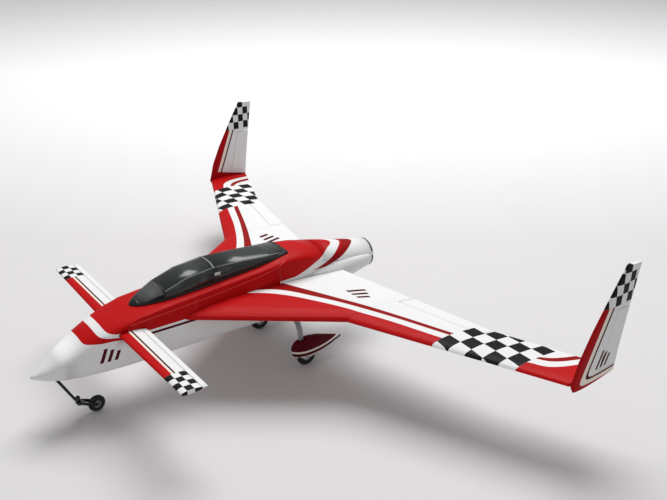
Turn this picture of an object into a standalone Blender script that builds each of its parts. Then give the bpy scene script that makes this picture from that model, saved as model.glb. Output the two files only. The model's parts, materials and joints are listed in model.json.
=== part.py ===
"""Balsa model glider of a two-seat canard aircraft, 1:8 scale.

Metres. +X is the port wing, the nose points to -Y, +Z is up, and z = 0 is the floor under the wheels.
Each mesh is drawn in world coordinates, then given an origin on its own joint axis.
"""

import math

import bmesh
import bpy
from mathutils import Vector

GAP = 0.0003  # clearance between pieces that touch
SKIN = 0.0025  # sheeted balsa wall of the fuselage

# Fuselage stations: y, half-width, belly z, z of the widest line, top z, lower and upper squareness
STATIONS = [
    (-0.3400, 0.0012, 0.0908, 0.0920, 0.0932, 2.0, 2.0),
    (-0.3340, 0.0062, 0.0876, 0.0930, 0.0965, 2.1, 2.0),
    (-0.3180, 0.0158, 0.0812, 0.0985, 0.1060, 2.2, 2.0),
    (-0.3040, 0.0215, 0.0780, 0.1035, 0.1160, 2.4, 2.0),
    (-0.2900, 0.0268, 0.0762, 0.1090, 0.1262, 2.7, 2.1),
    (-0.2650, 0.0335, 0.0748, 0.1200, 0.1400, 3.1, 2.2),
    (-0.2400, 0.0385, 0.0746, 0.1330, 0.1495, 3.6, 2.2),
    (-0.2100, 0.0412, 0.0748, 0.1490, 0.1560, 4.2, 2.0),
    (-0.1810, 0.0420, 0.0750, 0.1575, 0.1610, 4.6, 2.0),
    (-0.1300, 0.0425, 0.0755, 0.1620, 0.1675, 4.6, 2.0),
    (-0.0500, 0.0425, 0.0755, 0.1680, 0.1745, 4.6, 2.0),
    (0.0300, 0.0425, 0.0755, 0.1735, 0.1800, 4.6, 2.0),
    (0.0850, 0.0422, 0.0785, 0.1765, 0.1885, 4.6, 2.1),
    (0.1200, 0.0405, 0.0825, 0.1700, 0.1860, 4.2, 2.1),
    (0.1500, 0.0385, 0.0875, 0.1600, 0.1808, 3.6, 2.1),
    (0.1900, 0.0345, 0.0945, 0.1480, 0.1728, 3.0, 2.1),
    (0.2300, 0.0295, 0.1020, 0.1385, 0.1645, 2.4, 2.0),
    (0.2620, 0.0255, 0.1075, 0.1328, 0.1581, 2.0, 2.0),
]
BELLY_FLAT = 0.0006  # depth of the superellipse shaved off to leave a flat belly
RING = 32
NOSE_SPLIT = -0.2900
FIREWALL_Y = 0.1500
TAIL_Y = 0.2620
TAIL_Z = 0.1328  # centre of the tail ring and its disc
DISC_R = 0.0204

# Canopy stations: y, half-width at the sill, top z, squareness
CANOPY = [
    (-0.1800, 0.0040, 0.1640, 2.0),
    (-0.1720, 0.0130, 0.1682, 2.1),
    (-0.1600, 0.0198, 0.1745, 2.2),
    (-0.1330, 0.0280, 0.1865, 2.5),
    (-0.0950, 0.0310, 0.1975, 2.9),
    (-0.0480, 0.0315, 0.2018, 3.0),
    (0.0100, 0.0310, 0.1985, 3.0),
    (0.0500, 0.0300, 0.1945, 2.8),
    (0.0880, 0.0275, 0.1905, 2.6),
]
PANE = 0.0016
SILL_GAP = 0.0006
WINDSCREEN_Y = -0.1330
BOW_Y = -0.0480
HINGE_X = -0.0345
HINGE_Y = -0.0500
HINGE_Z = 0.1752
HINGE_SLOPE = 0.0875  # the sill climbs towards the tail

# Canard
CANARD_HALF = 0.2325
CANARD_LE_ROOT, CANARD_LE_TIP = -0.2172, -0.2124
CANARD_TE = -0.1735
CANARD_Z = 0.1385
CANARD_THICK = 0.0060
ELEVATOR_HINGE_Y = -0.1805
ELEVATOR_IN, ELEVATOR_OUT = 0.0500, 0.2285

# Wing: x, leading edge y, trailing edge y, z, thickness
ROOT_X = 0.0430
KINK_X = 0.1880
TIP_X = 0.4998
WING = [
    (ROOT_X, -0.1100, 0.1859, 0.1345, 0.0215),
    (KINK_X, 0.0875, 0.2174, 0.1320, 0.0155),
    (0.3400, 0.1574, 0.2504, 0.1292, 0.0115),
    (TIP_X, 0.2290, 0.3155, 0.1262, 0.0080),
]
AILERON_IN, AILERON_OUT = 0.1930, 0.3370
AILERON_CHORD_IN, AILERON_CHORD_OUT = 0.0270, 0.0230
JOINER_FRONT_Y, JOINER_REAR_Y = 0.0950, 0.1340
JOINER_R = 0.0030
JOINER_Z = 0.1345
OUTER_JOINER_Z = 0.1330
OUTER_JOINER_Y = 0.1500

# Winglet: leading edge (y, z), trailing edge (y, z), centre x, thickness
WINGLET = [
    ((0.2340, 0.1165), (0.3170, 0.1240), 0.5048, 0.0064),
    ((0.2285, 0.1262), (0.3180, 0.1300), 0.5048, 0.0088),
    ((0.2385, 0.1620), (0.3215, 0.1645), 0.5056, 0.0080),
    ((0.2565, 0.2000), (0.3267, 0.2010), 0.5066, 0.0072),
    ((0.2800, 0.2410), (0.3325, 0.2405), 0.5077, 0.0062),
    ((0.3090, 0.2887), (0.3400, 0.2862), 0.5090, 0.0052),
]
RUDDER_BOTTOM, RUDDER_TOP = (0.2835, 0.1375), (0.3044, 0.2237)

# Undercarriage
NOSE_PIVOT = (-0.3135, 0.0945)
KNUCKLE = (-0.2763, 0.0309)
NOSE_WHEEL = (-0.2485, 0.0134)
NOSE_R, NOSE_HALF_W = 0.0134, 0.0042
LEG_SLOT_HALF, WHEEL_WELL_HALF = 0.0058, 0.0092
LEG_SLOT_FRONT, LEG_SLOT_TOP = -0.3205, 0.1030  # just clear of the bracket, under the nose's skin
MAIN_X, MAIN_Y, MAIN_R, MAIN_HALF_W = 0.0745, 0.0887, 0.0180, 0.0056
PANT_HALF_W = 0.0108
BOW_Y0, BOW_Y1 = 0.0745, 0.0835
BOW_T = 0.0024


def clear_scene():
    for obj in list(bpy.data.objects):
        bpy.data.objects.remove(obj)


def paint(name, colour, rough, metal=0.0, alpha=1.0):
    mat = bpy.data.materials.new(name)
    mat.use_nodes = True
    shader = mat.node_tree.nodes["Principled BSDF"]
    shader.inputs["Base Color"].default_value = (*colour, 1.0)
    shader.inputs["Roughness"].default_value = rough
    shader.inputs["Metallic"].default_value = metal
    shader.inputs["Alpha"].default_value = alpha
    return mat


def world_of(obj):
    place = Vector((0, 0, 0))
    while obj:
        place += obj.location
        obj = obj.parent
    return place


def empty(name, place, parent=None):
    obj = bpy.data.objects.new(name, None)
    obj.empty_display_size = 0.02
    bpy.context.collection.objects.link(obj)
    obj.parent = parent
    obj.location = Vector(place) - world_of(parent)
    return obj


def body(name, bm, mat, parent=None, angle=35):
    """An object from a mesh drawn in world coordinates, with its origin at its parent's."""
    bmesh.ops.recalc_face_normals(bm, faces=bm.faces)
    place = world_of(parent)
    bmesh.ops.translate(bm, verts=bm.verts, vec=-place)
    mesh = bpy.data.meshes.new(name)
    bm.to_mesh(mesh)
    bm.free()
    mesh.shade_smooth()
    mesh.set_sharp_from_angle(angle=math.radians(angle))
    mesh.materials.append(mat)
    obj = bpy.data.objects.new(name, mesh)
    bpy.context.collection.objects.link(obj)
    obj.parent = parent
    return obj


def cutter(name, bm):
    bmesh.ops.recalc_face_normals(bm, faces=bm.faces)
    mesh = bpy.data.meshes.new(name)
    bm.to_mesh(mesh)
    bm.free()
    obj = bpy.data.objects.new(name, mesh)
    bpy.context.collection.objects.link(obj)
    obj.hide_render = True
    obj.display_type = "WIRE"
    return obj


def boolean(obj, other, operation="DIFFERENCE"):
    mod = obj.modifiers.new(operation.title() + " " + other.name, "BOOLEAN")
    mod.operation = operation
    mod.solver = "EXACT"
    mod.object = other


def loft(rings, bm=None):
    """Quads between successive rings of points, with a face over each end."""
    bm = bm or bmesh.new()
    rows = [[bm.verts.new(p) for p in ring] for ring in rings]
    count = len(rows[0])
    for a, b in zip(rows, rows[1:]):
        for i in range(count):
            j = (i + 1) % count
            bm.faces.new((a[i], a[j], b[j], b[i]))
    bm.faces.new(rows[0][::-1])
    bm.faces.new(rows[-1])
    return bm


def box(x0, x1, y0, y1, z0, z1, bm=None):
    rings = [[(x0, y, z0), (x1, y, z0), (x1, y, z1), (x0, y, z1)] for y in (y0, y1)]
    return loft(rings, bm)


def rod(start, end, radius, sides=16, end_radius=None, bm=None):
    """A round bar between two points, tapering to end_radius."""
    start, end = Vector(start), Vector(end)
    turn = (end - start).to_track_quat("Z", "Y").to_matrix()
    rings = []
    for centre, r in ((start, radius), (end, radius if end_radius is None else end_radius)):
        points = [(r * math.cos(2 * math.pi * i / sides), r * math.sin(2 * math.pi * i / sides), 0)
                  for i in range(sides)]
        rings.append([centre + turn @ Vector(p) for p in points])
    return loft(rings, bm)


def turned(profile, centre, sides=24):
    """A ring-shaped solid about the X axis from a closed profile of (x, radius)."""
    bm = bmesh.new()
    rows = []
    for i in range(sides):
        a = 2 * math.pi * i / sides
        rows.append([
            bm.verts.new((centre[0] + x, centre[1] + r * math.cos(a), centre[2] + r * math.sin(a)))
            for x, r in profile
        ])
    for i in range(sides):
        a, b = rows[i], rows[(i + 1) % sides]
        for k in range(len(profile)):
            m = (k + 1) % len(profile)
            bm.faces.new((a[k], a[m], b[m], b[k]))
    return bm


def between(table, key):
    """The table's row at this key, interpolated with a smooth curve through its rows."""
    if key <= table[0][0]:
        return table[0]
    if key >= table[-1][0]:
        return table[-1]
    i = max(k for k in range(len(table) - 1) if table[k][0] <= key)
    p1, p2 = table[i], table[i + 1]
    p0, p3 = table[max(i - 1, 0)], table[min(i + 2, len(table) - 1)]
    span = p2[0] - p1[0]
    t = (key - p1[0]) / span
    out = [key]
    for c in range(1, len(p1)):
        m1 = (p2[c] - p0[c]) / (p2[0] - p0[0]) * span
        m2 = (p3[c] - p1[c]) / (p3[0] - p1[0]) * span
        a = 2 * t**3 - 3 * t**2 + 1
        b = t**3 - 2 * t**2 + t
        out.append(a * p1[c] + b * m1 + (1 - a) * p2[c] + (t**3 - t**2) * m2)
    return out


def signed_power(value, power):
    return math.copysign(abs(value) ** power, value)


def hull_ring(y, inset=0.0):
    """Points round the fuselage at y, from the belly round the port side."""
    _, w, low, wide, top, sq_low, sq_up = between(STATIONS, y)
    ring = []
    for i in range(RING):
        a = -math.pi / 2 + 2 * math.pi * i / RING
        square = sq_low if math.sin(a) < 0 else sq_up
        deep = (wide - low + BELLY_FLAT) if math.sin(a) < 0 else (top - wide)
        x = max(w - inset, 0.0004) * signed_power(math.cos(a), 2 / square)
        z = wide + max(deep - inset, 0.0004) * signed_power(math.sin(a), 2 / square)
        ring.append((x, y, max(z, low + inset)))
    return ring


def deck_z(x, y):
    """Height of the fuselage's upper surface at (x, y)."""
    _, w, _, wide, top, _, square = between(STATIONS, y)
    return wide + (top - wide) * max(1 - abs(x / w) ** square, 0) ** (1 / square)


def hull_ys(start, end, extra=()):
    return sorted({start, end, *extra, *(s[0] for s in STATIONS if start < s[0] < end)})


def hull_loft(start, end, inset=0.0, extra=()):
    return loft([hull_ring(y, inset) for y in hull_ys(start, end, extra)])


def hull_panel(start, end, low_side, thick, clear=0.0004):
    """The upper or lower half of the hull between two stations, as a curved sheet."""
    half = RING // 2
    rings = []
    for y in hull_ys(start, end):
        outer, inner = hull_ring(y), hull_ring(y, thick)
        order = [(i + (RING * 3 // 4 if low_side else RING // 4)) % RING for i in range(half + 1)]
        shift = -clear if low_side else clear
        out_pts, in_pts = [outer[i] for i in order], [inner[i] for i in order]
        for pts in (out_pts, in_pts):
            for k in (0, -1):
                pts[k] = (pts[k][0], pts[k][1], pts[k][2] + shift)
        rings.append(out_pts + in_pts[::-1])
    return loft(rings)


def foil(c):
    """Half-thickness of a section of thickness 1 at chord fraction c."""
    return 5 * (0.2969 * math.sqrt(c) - 0.126 * c - 0.3516 * c**2 + 0.2843 * c**3 - 0.1015 * c**4)


CHORD_STEPS = [0, 0.012, 0.05, 0.13, 0.26, 0.42, 0.6, 0.8, 1.0]


def half_depth(c, thick):
    return thick * foil(c) + 0.0005 * c + 0.00002


def linear(table, key):
    for a, b in zip(table, table[1:]):
        if key <= b[0] or b is table[-1]:
            t = (key - a[0]) / (b[0] - a[0])
            return [p + (q - p) * t for p, q in zip(a, b)]


def wing_ring(x, side, grow=0.0):
    _, front, back, z, thick = linear(WING, x)
    front, back = front - grow, back + grow
    upper = [(side * x, front + (back - front) * c, z + 1.16 * half_depth(c, thick) + grow)
             for c in CHORD_STEPS]
    lower = [(side * x, front + (back - front) * c, z - 0.84 * half_depth(c, thick) - grow)
             for c in CHORD_STEPS]
    return upper + lower[::-1]


def wing_surfaces(x, y):
    _, front, back, z, thick = linear(WING, x)
    half = half_depth(min(max((y - front) / (back - front), 0), 1), thick)
    return z - 0.84 * half, z + 1.16 * half


def aileron_hinge(x):
    t = (x - AILERON_IN) / (AILERON_OUT - AILERON_IN)
    chord = AILERON_CHORD_IN + (AILERON_CHORD_OUT - AILERON_CHORD_IN) * t
    return linear(WING, x)[2] - chord


def aileron_axis(x, side):
    y = aileron_hinge(x)
    low, high = wing_surfaces(x, y)
    return Vector((side * x, y, (low + high) / 2))


def aileron_ring(x, side):
    back = linear(WING, x)[2]
    y = aileron_hinge(x)
    low, high = wing_surfaces(x, y)
    mid, r = (low + high) / 2, (high - low) / 2
    nose = [(y - r * math.sin(math.pi * k / 8), mid + r * math.cos(math.pi * k / 8)) for k in range(9)]
    aft = [y + (back - y) * f for f in (0.35, 0.7, 1.0)]
    pts = nose + [(v, wing_surfaces(x, v)[0]) for v in aft] + [(v, wing_surfaces(x, v)[1]) for v in aft[::-1]]
    return [(side * x, a, b) for a, b in pts]


def canard_ring(x, le, grow=0.0):
    front, back = le - grow, CANARD_TE + grow
    upper = [(x, front + (back - front) * c, CANARD_Z + 1.1 * half_depth(c, CANARD_THICK) + grow)
             for c in CHORD_STEPS]
    lower = [(x, front + (back - front) * c, CANARD_Z - 0.9 * half_depth(c, CANARD_THICK) - grow)
             for c in CHORD_STEPS]
    return upper + lower[::-1]


def canard_surfaces(x, y):
    le = CANARD_LE_ROOT + (CANARD_LE_TIP - CANARD_LE_ROOT) * abs(x) / CANARD_HALF
    half = half_depth(min((y - le) / (CANARD_TE - le), 1), CANARD_THICK)
    return CANARD_Z - 0.9 * half, CANARD_Z + 1.1 * half


def elevator_ring(x):
    y = ELEVATOR_HINGE_Y
    low, high = canard_surfaces(x, y)
    mid, r = (low + high) / 2, (high - low) / 2
    nose = [(y - r * math.sin(math.pi * k / 6), mid + r * math.cos(math.pi * k / 6)) for k in range(7)]
    aft = [y + (CANARD_TE - y) * f for f in (0.5, 1.0)]
    pts = nose + [(v, canard_surfaces(x, v)[0]) for v in aft]
    pts += [(v, canard_surfaces(x, v)[1]) for v in aft[::-1]]
    return [(x, a, b) for a, b in pts]


def winglet_at(z):
    """Leading edge y, trailing edge y, centre x and thickness of the winglet at height z."""
    fronts = [(le[1], le[0], x, thick) for le, _, x, thick in WINGLET[1:]]
    backs = [(te[1], te[0]) for _, te, _, _ in WINGLET[1:]]
    _, front, x, thick = linear(fronts, z)
    return front, linear(backs, z)[1], x, thick


def winglet_ring(row, side):
    (y0, z0), (y1, z1), x, thick = row
    place = [(y0 + (y1 - y0) * c, z0 + (z1 - z0) * c, half_depth(c, thick)) for c in CHORD_STEPS]
    outer = [(side * (x + h), y, z) for y, z, h in place]
    inner = [(side * (x - h), y, z) for y, z, h in place]
    return outer + inner[::-1]


def rudder_hinge(z):
    f = (z - RUDDER_BOTTOM[1]) / (RUDDER_TOP[1] - RUDDER_BOTTOM[1])
    return RUDDER_BOTTOM[0] + (RUDDER_TOP[0] - RUDDER_BOTTOM[0]) * f


def rudder_half(z, y):
    front, back, _, thick = winglet_at(z)
    return half_depth(min((y - front) / (back - front), 1), thick)


def rudder_ring(z, side):
    _, back, x, _ = winglet_at(z)
    y = rudder_hinge(z)
    r = rudder_half(z, y)
    nose = [(x + r * math.cos(math.pi * k / 8), y - r * math.sin(math.pi * k / 8)) for k in range(9)]
    aft = [y + (back - y) * f for f in (0.35, 0.7, 1.0)]
    pts = nose + [(x - rudder_half(z, v), v) for v in aft] + [(x + rudder_half(z, v), v) for v in aft[::-1]]
    return [(side * a, b, z) for a, b in pts]


def canopy_section(y, inset=0.0, steps=18):
    """Arch over the sill at y, from the port sill to the starboard one, closed underneath."""
    _, b, top, square = between(CANOPY, y)
    b, top = b - inset, top - inset
    sill = deck_z(b, y) + SILL_GAP
    rise = max(top - sill, 0.0006)
    pts = []
    for i in range(steps + 1):
        a = math.pi * i / steps
        x = b * signed_power(math.cos(a), 2 / square)
        z = sill + rise * abs(math.sin(a)) ** (2 / square)
        pts.append((x, y, z))
    return pts


def canopy_loft(inset=0.0, start=None, end=None, drop=0.0):
    start = CANOPY[0][0] if start is None else start
    end = CANOPY[-1][0] if end is None else end
    ys = sorted({start, end, *(row[0] for row in CANOPY if start < row[0] < end)})
    rings = []
    for y in ys:
        pts = canopy_section(y, inset)
        if drop:
            under = [(pts[-1][0], y, pts[-1][2] - drop), (pts[0][0], y, pts[0][2] - drop)]
        else:
            half = pts[0][0]
            under = [(half * f, y, deck_z(half * f, y) + SILL_GAP)
                     for f in (-0.85, -0.7, -0.5, -0.25, 0, 0.25, 0.5, 0.7, 0.85)]
        rings.append(pts + under)
    return loft(rings)


def window(start, end):
    """The space above the canopy's rim between two stations."""
    ys = sorted({start, end, *(row[0] for row in CANOPY if start < row[0] < end)})
    rings = []
    for y in ys:
        low = deck_z(between(CANOPY, y)[1], y) + 0.0042
        rings.append([(-0.05, y, low), (0.05, y, low), (0.05, y, 0.23), (-0.05, y, 0.23)])
    return loft(rings)


def cockpit_cutter():
    ys = [-0.1620, -0.1500, -0.1330, -0.0950, -0.0480, 0.0100, 0.0500, 0.0760]
    rings = []
    for y in ys:
        half = between(CANOPY, y)[1] - 0.0050
        rings.append([(-half, y, 0.1300), (half, y, 0.1300), (half, y, 0.2200), (-half, y, 0.2200)])
    return loft(rings)


def hinge_line(y):
    return Vector((HINGE_X, y, HINGE_Z + HINGE_SLOPE * (y - HINGE_Y)))


def extruded(points, x0, x1):
    """A side view of (y, z) points carried from x0 to x1."""
    return loft([[(x, y, z) for y, z in points] for x in (x0, x1)])


def make_materials():
    return {
        "white": paint("white_paint", (0.83, 0.84, 0.84), 0.3),
        "red": paint("red_paint", (0.55, 0.012, 0.02), 0.28),
        "maroon": paint("maroon_paint", (0.16, 0.008, 0.02), 0.3),
        "glass": paint("smoked_sheet", (0.02, 0.024, 0.024), 0.12),
        "frame": paint("grey_frame", (0.12, 0.13, 0.13), 0.4),
        "grey": paint("grey_metal", (0.32, 0.33, 0.34), 0.38, 0.8),
        "dark": paint("dark_metal", (0.05, 0.055, 0.055), 0.4, 0.6),
        "rubber": paint("black_rubber", (0.015, 0.015, 0.016), 0.75),
        "ply": paint("birch_ply", (0.5, 0.36, 0.2), 0.6),
        "lead": paint("lead", (0.16, 0.16, 0.17), 0.5, 0.9),
        "wire": paint("steel_wire", (0.55, 0.56, 0.57), 0.3, 1.0),
        "seat": paint("seat_foam", (0.03, 0.03, 0.035), 0.85),
        "latch": paint("latch_grey", (0.5, 0.52, 0.52), 0.4),
    }


def make_fuselage(mats, root):
    shell = body("fuselage_shell", hull_loft(NOSE_SPLIT, FIREWALL_Y), mats["white"], root)
    rings = [hull_ring(y, SKIN) for y in hull_ys(NOSE_SPLIT, FIREWALL_Y)]
    rings[0] = [(x, y - 0.002, z) for x, y, z in rings[0]]
    rings[-1] = [(x, y + 0.002, z) for x, y, z in rings[-1]]
    hollow = cutter("cut_hollow", loft(rings))
    boolean(shell, hollow)
    boolean(shell, cutter("cut_cockpit", cockpit_cutter()))
    slot = loft([canard_ring(-0.06, CANARD_LE_ROOT + 0.001, 0.0005),
                 canard_ring(0.06, CANARD_LE_ROOT + 0.001, 0.0005)])
    boolean(shell, cutter("cut_canard", slot))
    leg_slot = box(-LEG_SLOT_HALF, LEG_SLOT_HALF, LEG_SLOT_FRONT, -0.2400, 0.060, LEG_SLOT_TOP)
    boolean(shell, cutter("cut_leg_slot", leg_slot))
    well = box(-WHEEL_WELL_HALF, WHEEL_WELL_HALF, -0.2450, -0.1900, 0.060, 0.0950)
    boolean(shell, cutter("cut_wheel_well", well))
    boolean(shell, cutter("cut_bow", box(-0.05, 0.05, BOW_Y0 - 0.0005, BOW_Y1 + 0.0005, 0.0815, 0.0860)))
    for y in (JOINER_FRONT_Y, JOINER_REAR_Y):
        hole = rod((-0.06, y, JOINER_Z), (0.06, y, JOINER_Z), JOINER_R + 0.0004)
        boolean(shell, cutter(f"cut_joiner_{y:.3f}", hole))

    nose = body("nose_block", hull_loft(-0.3400, NOSE_SPLIT - GAP), mats["white"], root)
    boolean(nose, bpy.data.objects["cut_leg_slot"])

    pts = hull_ring(-0.2885, SKIN + GAP)
    former = body("nose_former", loft([[(x, y, z) for x, _, z in pts] for y in (-0.2885, -0.2862)]),
                  mats["ply"], root)
    boolean(former, bpy.data.objects["cut_leg_slot"])
    body("nose_ballast", box(-0.0190, 0.0190, -0.2858, -0.2640, 0.1062, 0.1180), mats["lead"], root)
    pts = hull_ring(0.1475, SKIN + 0.0004)
    body("firewall", loft([[(x, y, z) for x, _, z in pts] for y in (0.1450, 0.1475)]), mats["ply"], root)

    body("cowl_upper", hull_panel(FIREWALL_Y + GAP, TAIL_Y, False, 0.0020), mats["white"], root)
    body("cowl_lower", hull_panel(FIREWALL_Y + GAP, TAIL_Y, True, 0.0020), mats["white"], root)
    centre = (0.0, 0.0, TAIL_Z)
    ring = [(0.2623, 0.0256), (0.2672, 0.0252), (0.2684, 0.0240), (0.2684, 0.0212), (0.2623, 0.0208)]
    body("tail_ring", turned_y(ring, centre, 40), mats["dark"], root)
    turns = [2 * math.pi * i / 32 for i in range(32)]
    circle = [(DISC_R * math.cos(a), TAIL_Z + DISC_R * math.sin(a)) for a in turns]
    disc = loft([[(x, y, z) for x, z in circle] for y in (0.2635, 0.2655)])
    body("tail_disc", disc, mats["white"], root)


def turned_y(profile, centre, sides):
    """A ring-shaped solid about the Y axis from a closed profile of (y, radius)."""
    bm = bmesh.new()
    rows = []
    for i in range(sides):
        a = 2 * math.pi * i / sides
        rows.append([bm.verts.new((r * math.cos(a), y, centre[2] + r * math.sin(a))) for y, r in profile])
    for i in range(sides):
        a, b = rows[i], rows[(i + 1) % sides]
        for k in range(len(profile)):
            m = (k + 1) % len(profile)
            bm.faces.new((a[k], a[m], b[m], b[k]))
    return bm


CHEEK = [
    (0.0950, 0.0426, 0.1350, 0.0060),
    (0.1200, 0.0432, 0.1350, 0.0150),
    (0.1500, 0.0440, 0.1345, 0.0190),
    (0.1859, 0.0435, 0.1335, 0.0185),
    (0.2200, 0.0385, 0.1320, 0.0155),
    (0.2480, 0.0320, 0.1310, 0.0120),
    (0.2610, 0.0270, 0.1305, 0.0095),
]


def make_cheeks(mats, root):
    """Side fairings between the cowl and the wing roots, faired into the tail."""
    grown = loft([[(x * 1.010, y, 0.13 + (z - 0.13) * 1.010) for x, y, z in hull_ring(y)]
                  for y in hull_ys(0.05, TAIL_Y) + [0.2625]])
    hull = cutter("cut_cheek_hull", grown)
    for side, name in ((1, "cheek_port"), (-1, "cheek_starboard")):
        rings = []
        for y, out, z, h in CHEEK:
            ring = []
            for i in range(17):
                a = -math.pi / 2 + math.pi * i / 16
                ring.append((side * (0.018 + (out - 0.018) * math.cos(a) ** 0.6), y, z + h * math.sin(a)))
            rings.append(ring)
        cheek = body(name, loft(rings), mats["white"], root)
        boolean(cheek, hull)
        wing = loft([wing_ring(0.0380, side, 0.0005), wing_ring(0.0700, side, 0.0005)])
        boolean(cheek, cutter("cut_" + name, wing))


def make_cockpit(mats, root):
    body("cockpit_tray", box(-0.0365, 0.0365, -0.1650, 0.0640, 0.1010, 0.1025), mats["ply"], root)
    seat = [(-0.1080, 0.1028), (-0.0560, 0.1028), (-0.0330, 0.1560), (-0.0385, 0.1580), (-0.0640, 0.1120),
            (-0.1080, 0.1120)]
    body("front_seat", extruded(seat, -0.0200, 0.0200), mats["seat"], root)
    seat = [(-0.0080, 0.1028), (0.0400, 0.1028), (0.0610, 0.1640), (0.0555, 0.1660), (0.0330, 0.1120),
            (-0.0080, 0.1120)]
    body("rear_seat", extruded(seat, -0.0200, 0.0200), mats["seat"], root)
    panel = [(-0.1440, 0.1028), (-0.1425, 0.1028), (-0.1425, 0.1600), (-0.1440, 0.1600)]
    body("instrument_panel", extruded(panel, -0.0210, 0.0210), mats["dark"], root)


def make_canopy(mats, root):
    axis = empty("canopy_joint", hinge_line(HINGE_Y), root)
    shell = canopy_loft()
    frame = body("canopy_frame", shell, mats["frame"], axis)
    inner = cutter("cut_canopy_inner", canopy_loft(PANE, -0.1765, 0.0860, 0.02))
    boolean(frame, inner)
    spans = {
        "windscreen_pane": (-0.1690, WINDSCREEN_Y - 0.0012),
        "canopy_pane_front": (WINDSCREEN_Y + 0.0012, BOW_Y - 0.0022),
        "canopy_pane_rear": (BOW_Y + 0.0022, 0.0835),
    }
    for name, (start, end) in spans.items():
        boolean(frame, cutter("cut_" + name, window(start, end)))
        pane = body(name, canopy_loft(), mats["glass"], axis)
        boolean(pane, inner)
        slab = window(start + GAP, end - GAP)
        bmesh.ops.translate(slab, verts=slab.verts, vec=(0, 0, GAP))
        boolean(pane, cutter("keep_" + name, slab), "INTERSECT")

    # Hinge: two knuckles on the frame, two on the deck, one pin through all four
    hole = cutter("cut_hinge_pin", rod(hinge_line(-0.1100), hinge_line(0.0700), 0.0009, 12))
    for y in (-0.0900, 0.0440):
        a, b = hinge_line(y), hinge_line(y + 0.0060)
        knuckle = rod(a, b, 0.0019, 14)
        tab = cutter(f"add_knuckle_{y:.3f}", knuckle)
        boolean(frame, tab, "UNION")
        leg = box(HINGE_X, -0.0290, y, y + 0.0060, a.z - 0.0019, a.z + 0.0003)
        boolean(frame, cutter(f"add_tab_{y:.3f}", leg), "UNION")
    boolean(frame, hole)
    for name, y in (("canopy_hinge_front", -0.0968), ("canopy_hinge_rear", 0.0372)):
        a, b = hinge_line(y), hinge_line(y + 0.0060)
        block = body(name, rod(a, b, 0.0019, 14), mats["grey"], root)
        low = deck_z(HINGE_X, y + 0.006) + 0.0005
        foot = box(HINGE_X - 0.0019, HINGE_X + 0.0019, y, y + 0.0060, low, a.z)
        boolean(block, cutter("add_" + name, foot), "UNION")
        boolean(block, hole)
    body("canopy_hinge_pin", rod(hinge_line(-0.0980), hinge_line(0.0515), 0.0006, 10), mats["wire"], root)

    # Latch: a square turn-button on the port side, just aft of the bow
    z = 0.1880
    hub = empty("latch_joint", (0.0330, BOW_Y, z), axis)
    button = box(0.0309, 0.0318, BOW_Y - 0.0020, BOW_Y + 0.0080, z - 0.0022, z + 0.0022)
    latch = body("canopy_latch", button, mats["latch"], hub)
    boolean(latch, cutter("add_latch_pin", rod((0.0285, BOW_Y, z), (0.0312, BOW_Y, z), 0.0008, 12)), "UNION")
    boolean(frame, cutter("cut_latch_pin", rod((0.0200, BOW_Y, z), (0.0400, BOW_Y, z), 0.0011, 12)))


def make_canard(mats, root):
    rings = [canard_ring(-CANARD_HALF, CANARD_LE_TIP), canard_ring(-0.040, CANARD_LE_ROOT + 0.001),
             canard_ring(0.040, CANARD_LE_ROOT + 0.001), canard_ring(CANARD_HALF, CANARD_LE_TIP)]
    canard = body("canard", loft(rings), mats["white"], root)
    front = ELEVATOR_HINGE_Y - 0.0026
    for side, tag in ((1, "port"), (-1, "starboard")):
        x0, x1 = sorted((side * (ELEVATOR_IN - 0.0006), side * (ELEVATOR_OUT + 0.0006)))
        boolean(canard, cutter("cut_elevator_" + tag, box(x0, x1, front, -0.15, 0.12, 0.16)))
    low, high = canard_surfaces(0, ELEVATOR_HINGE_Y)
    z = (low + high) / 2
    boolean(canard, cutter("cut_elevator_rod", rod((-0.06, ELEVATOR_HINGE_Y, z), (0.06, ELEVATOR_HINGE_Y, z),
                                                  0.0028, 12)))
    clear = box(-0.0495, 0.0495, front, -0.15, 0.12, 0.16)
    boolean(canard, cutter("cut_elevator_rod_bay", clear))
    axis = empty("elevator_joint", (0, ELEVATOR_HINGE_Y, z), root)
    for side, tag in ((1, "port"), (-1, "starboard")):
        body("elevator_" + tag, loft([elevator_ring(side * ELEVATOR_IN), elevator_ring(side * ELEVATOR_OUT)]),
             mats["white"], axis)
    body("elevator_rod", rod((-0.0497, ELEVATOR_HINGE_Y, z), (0.0497, ELEVATOR_HINGE_Y, z), 0.0010, 12),
         mats["wire"], axis)


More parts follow.
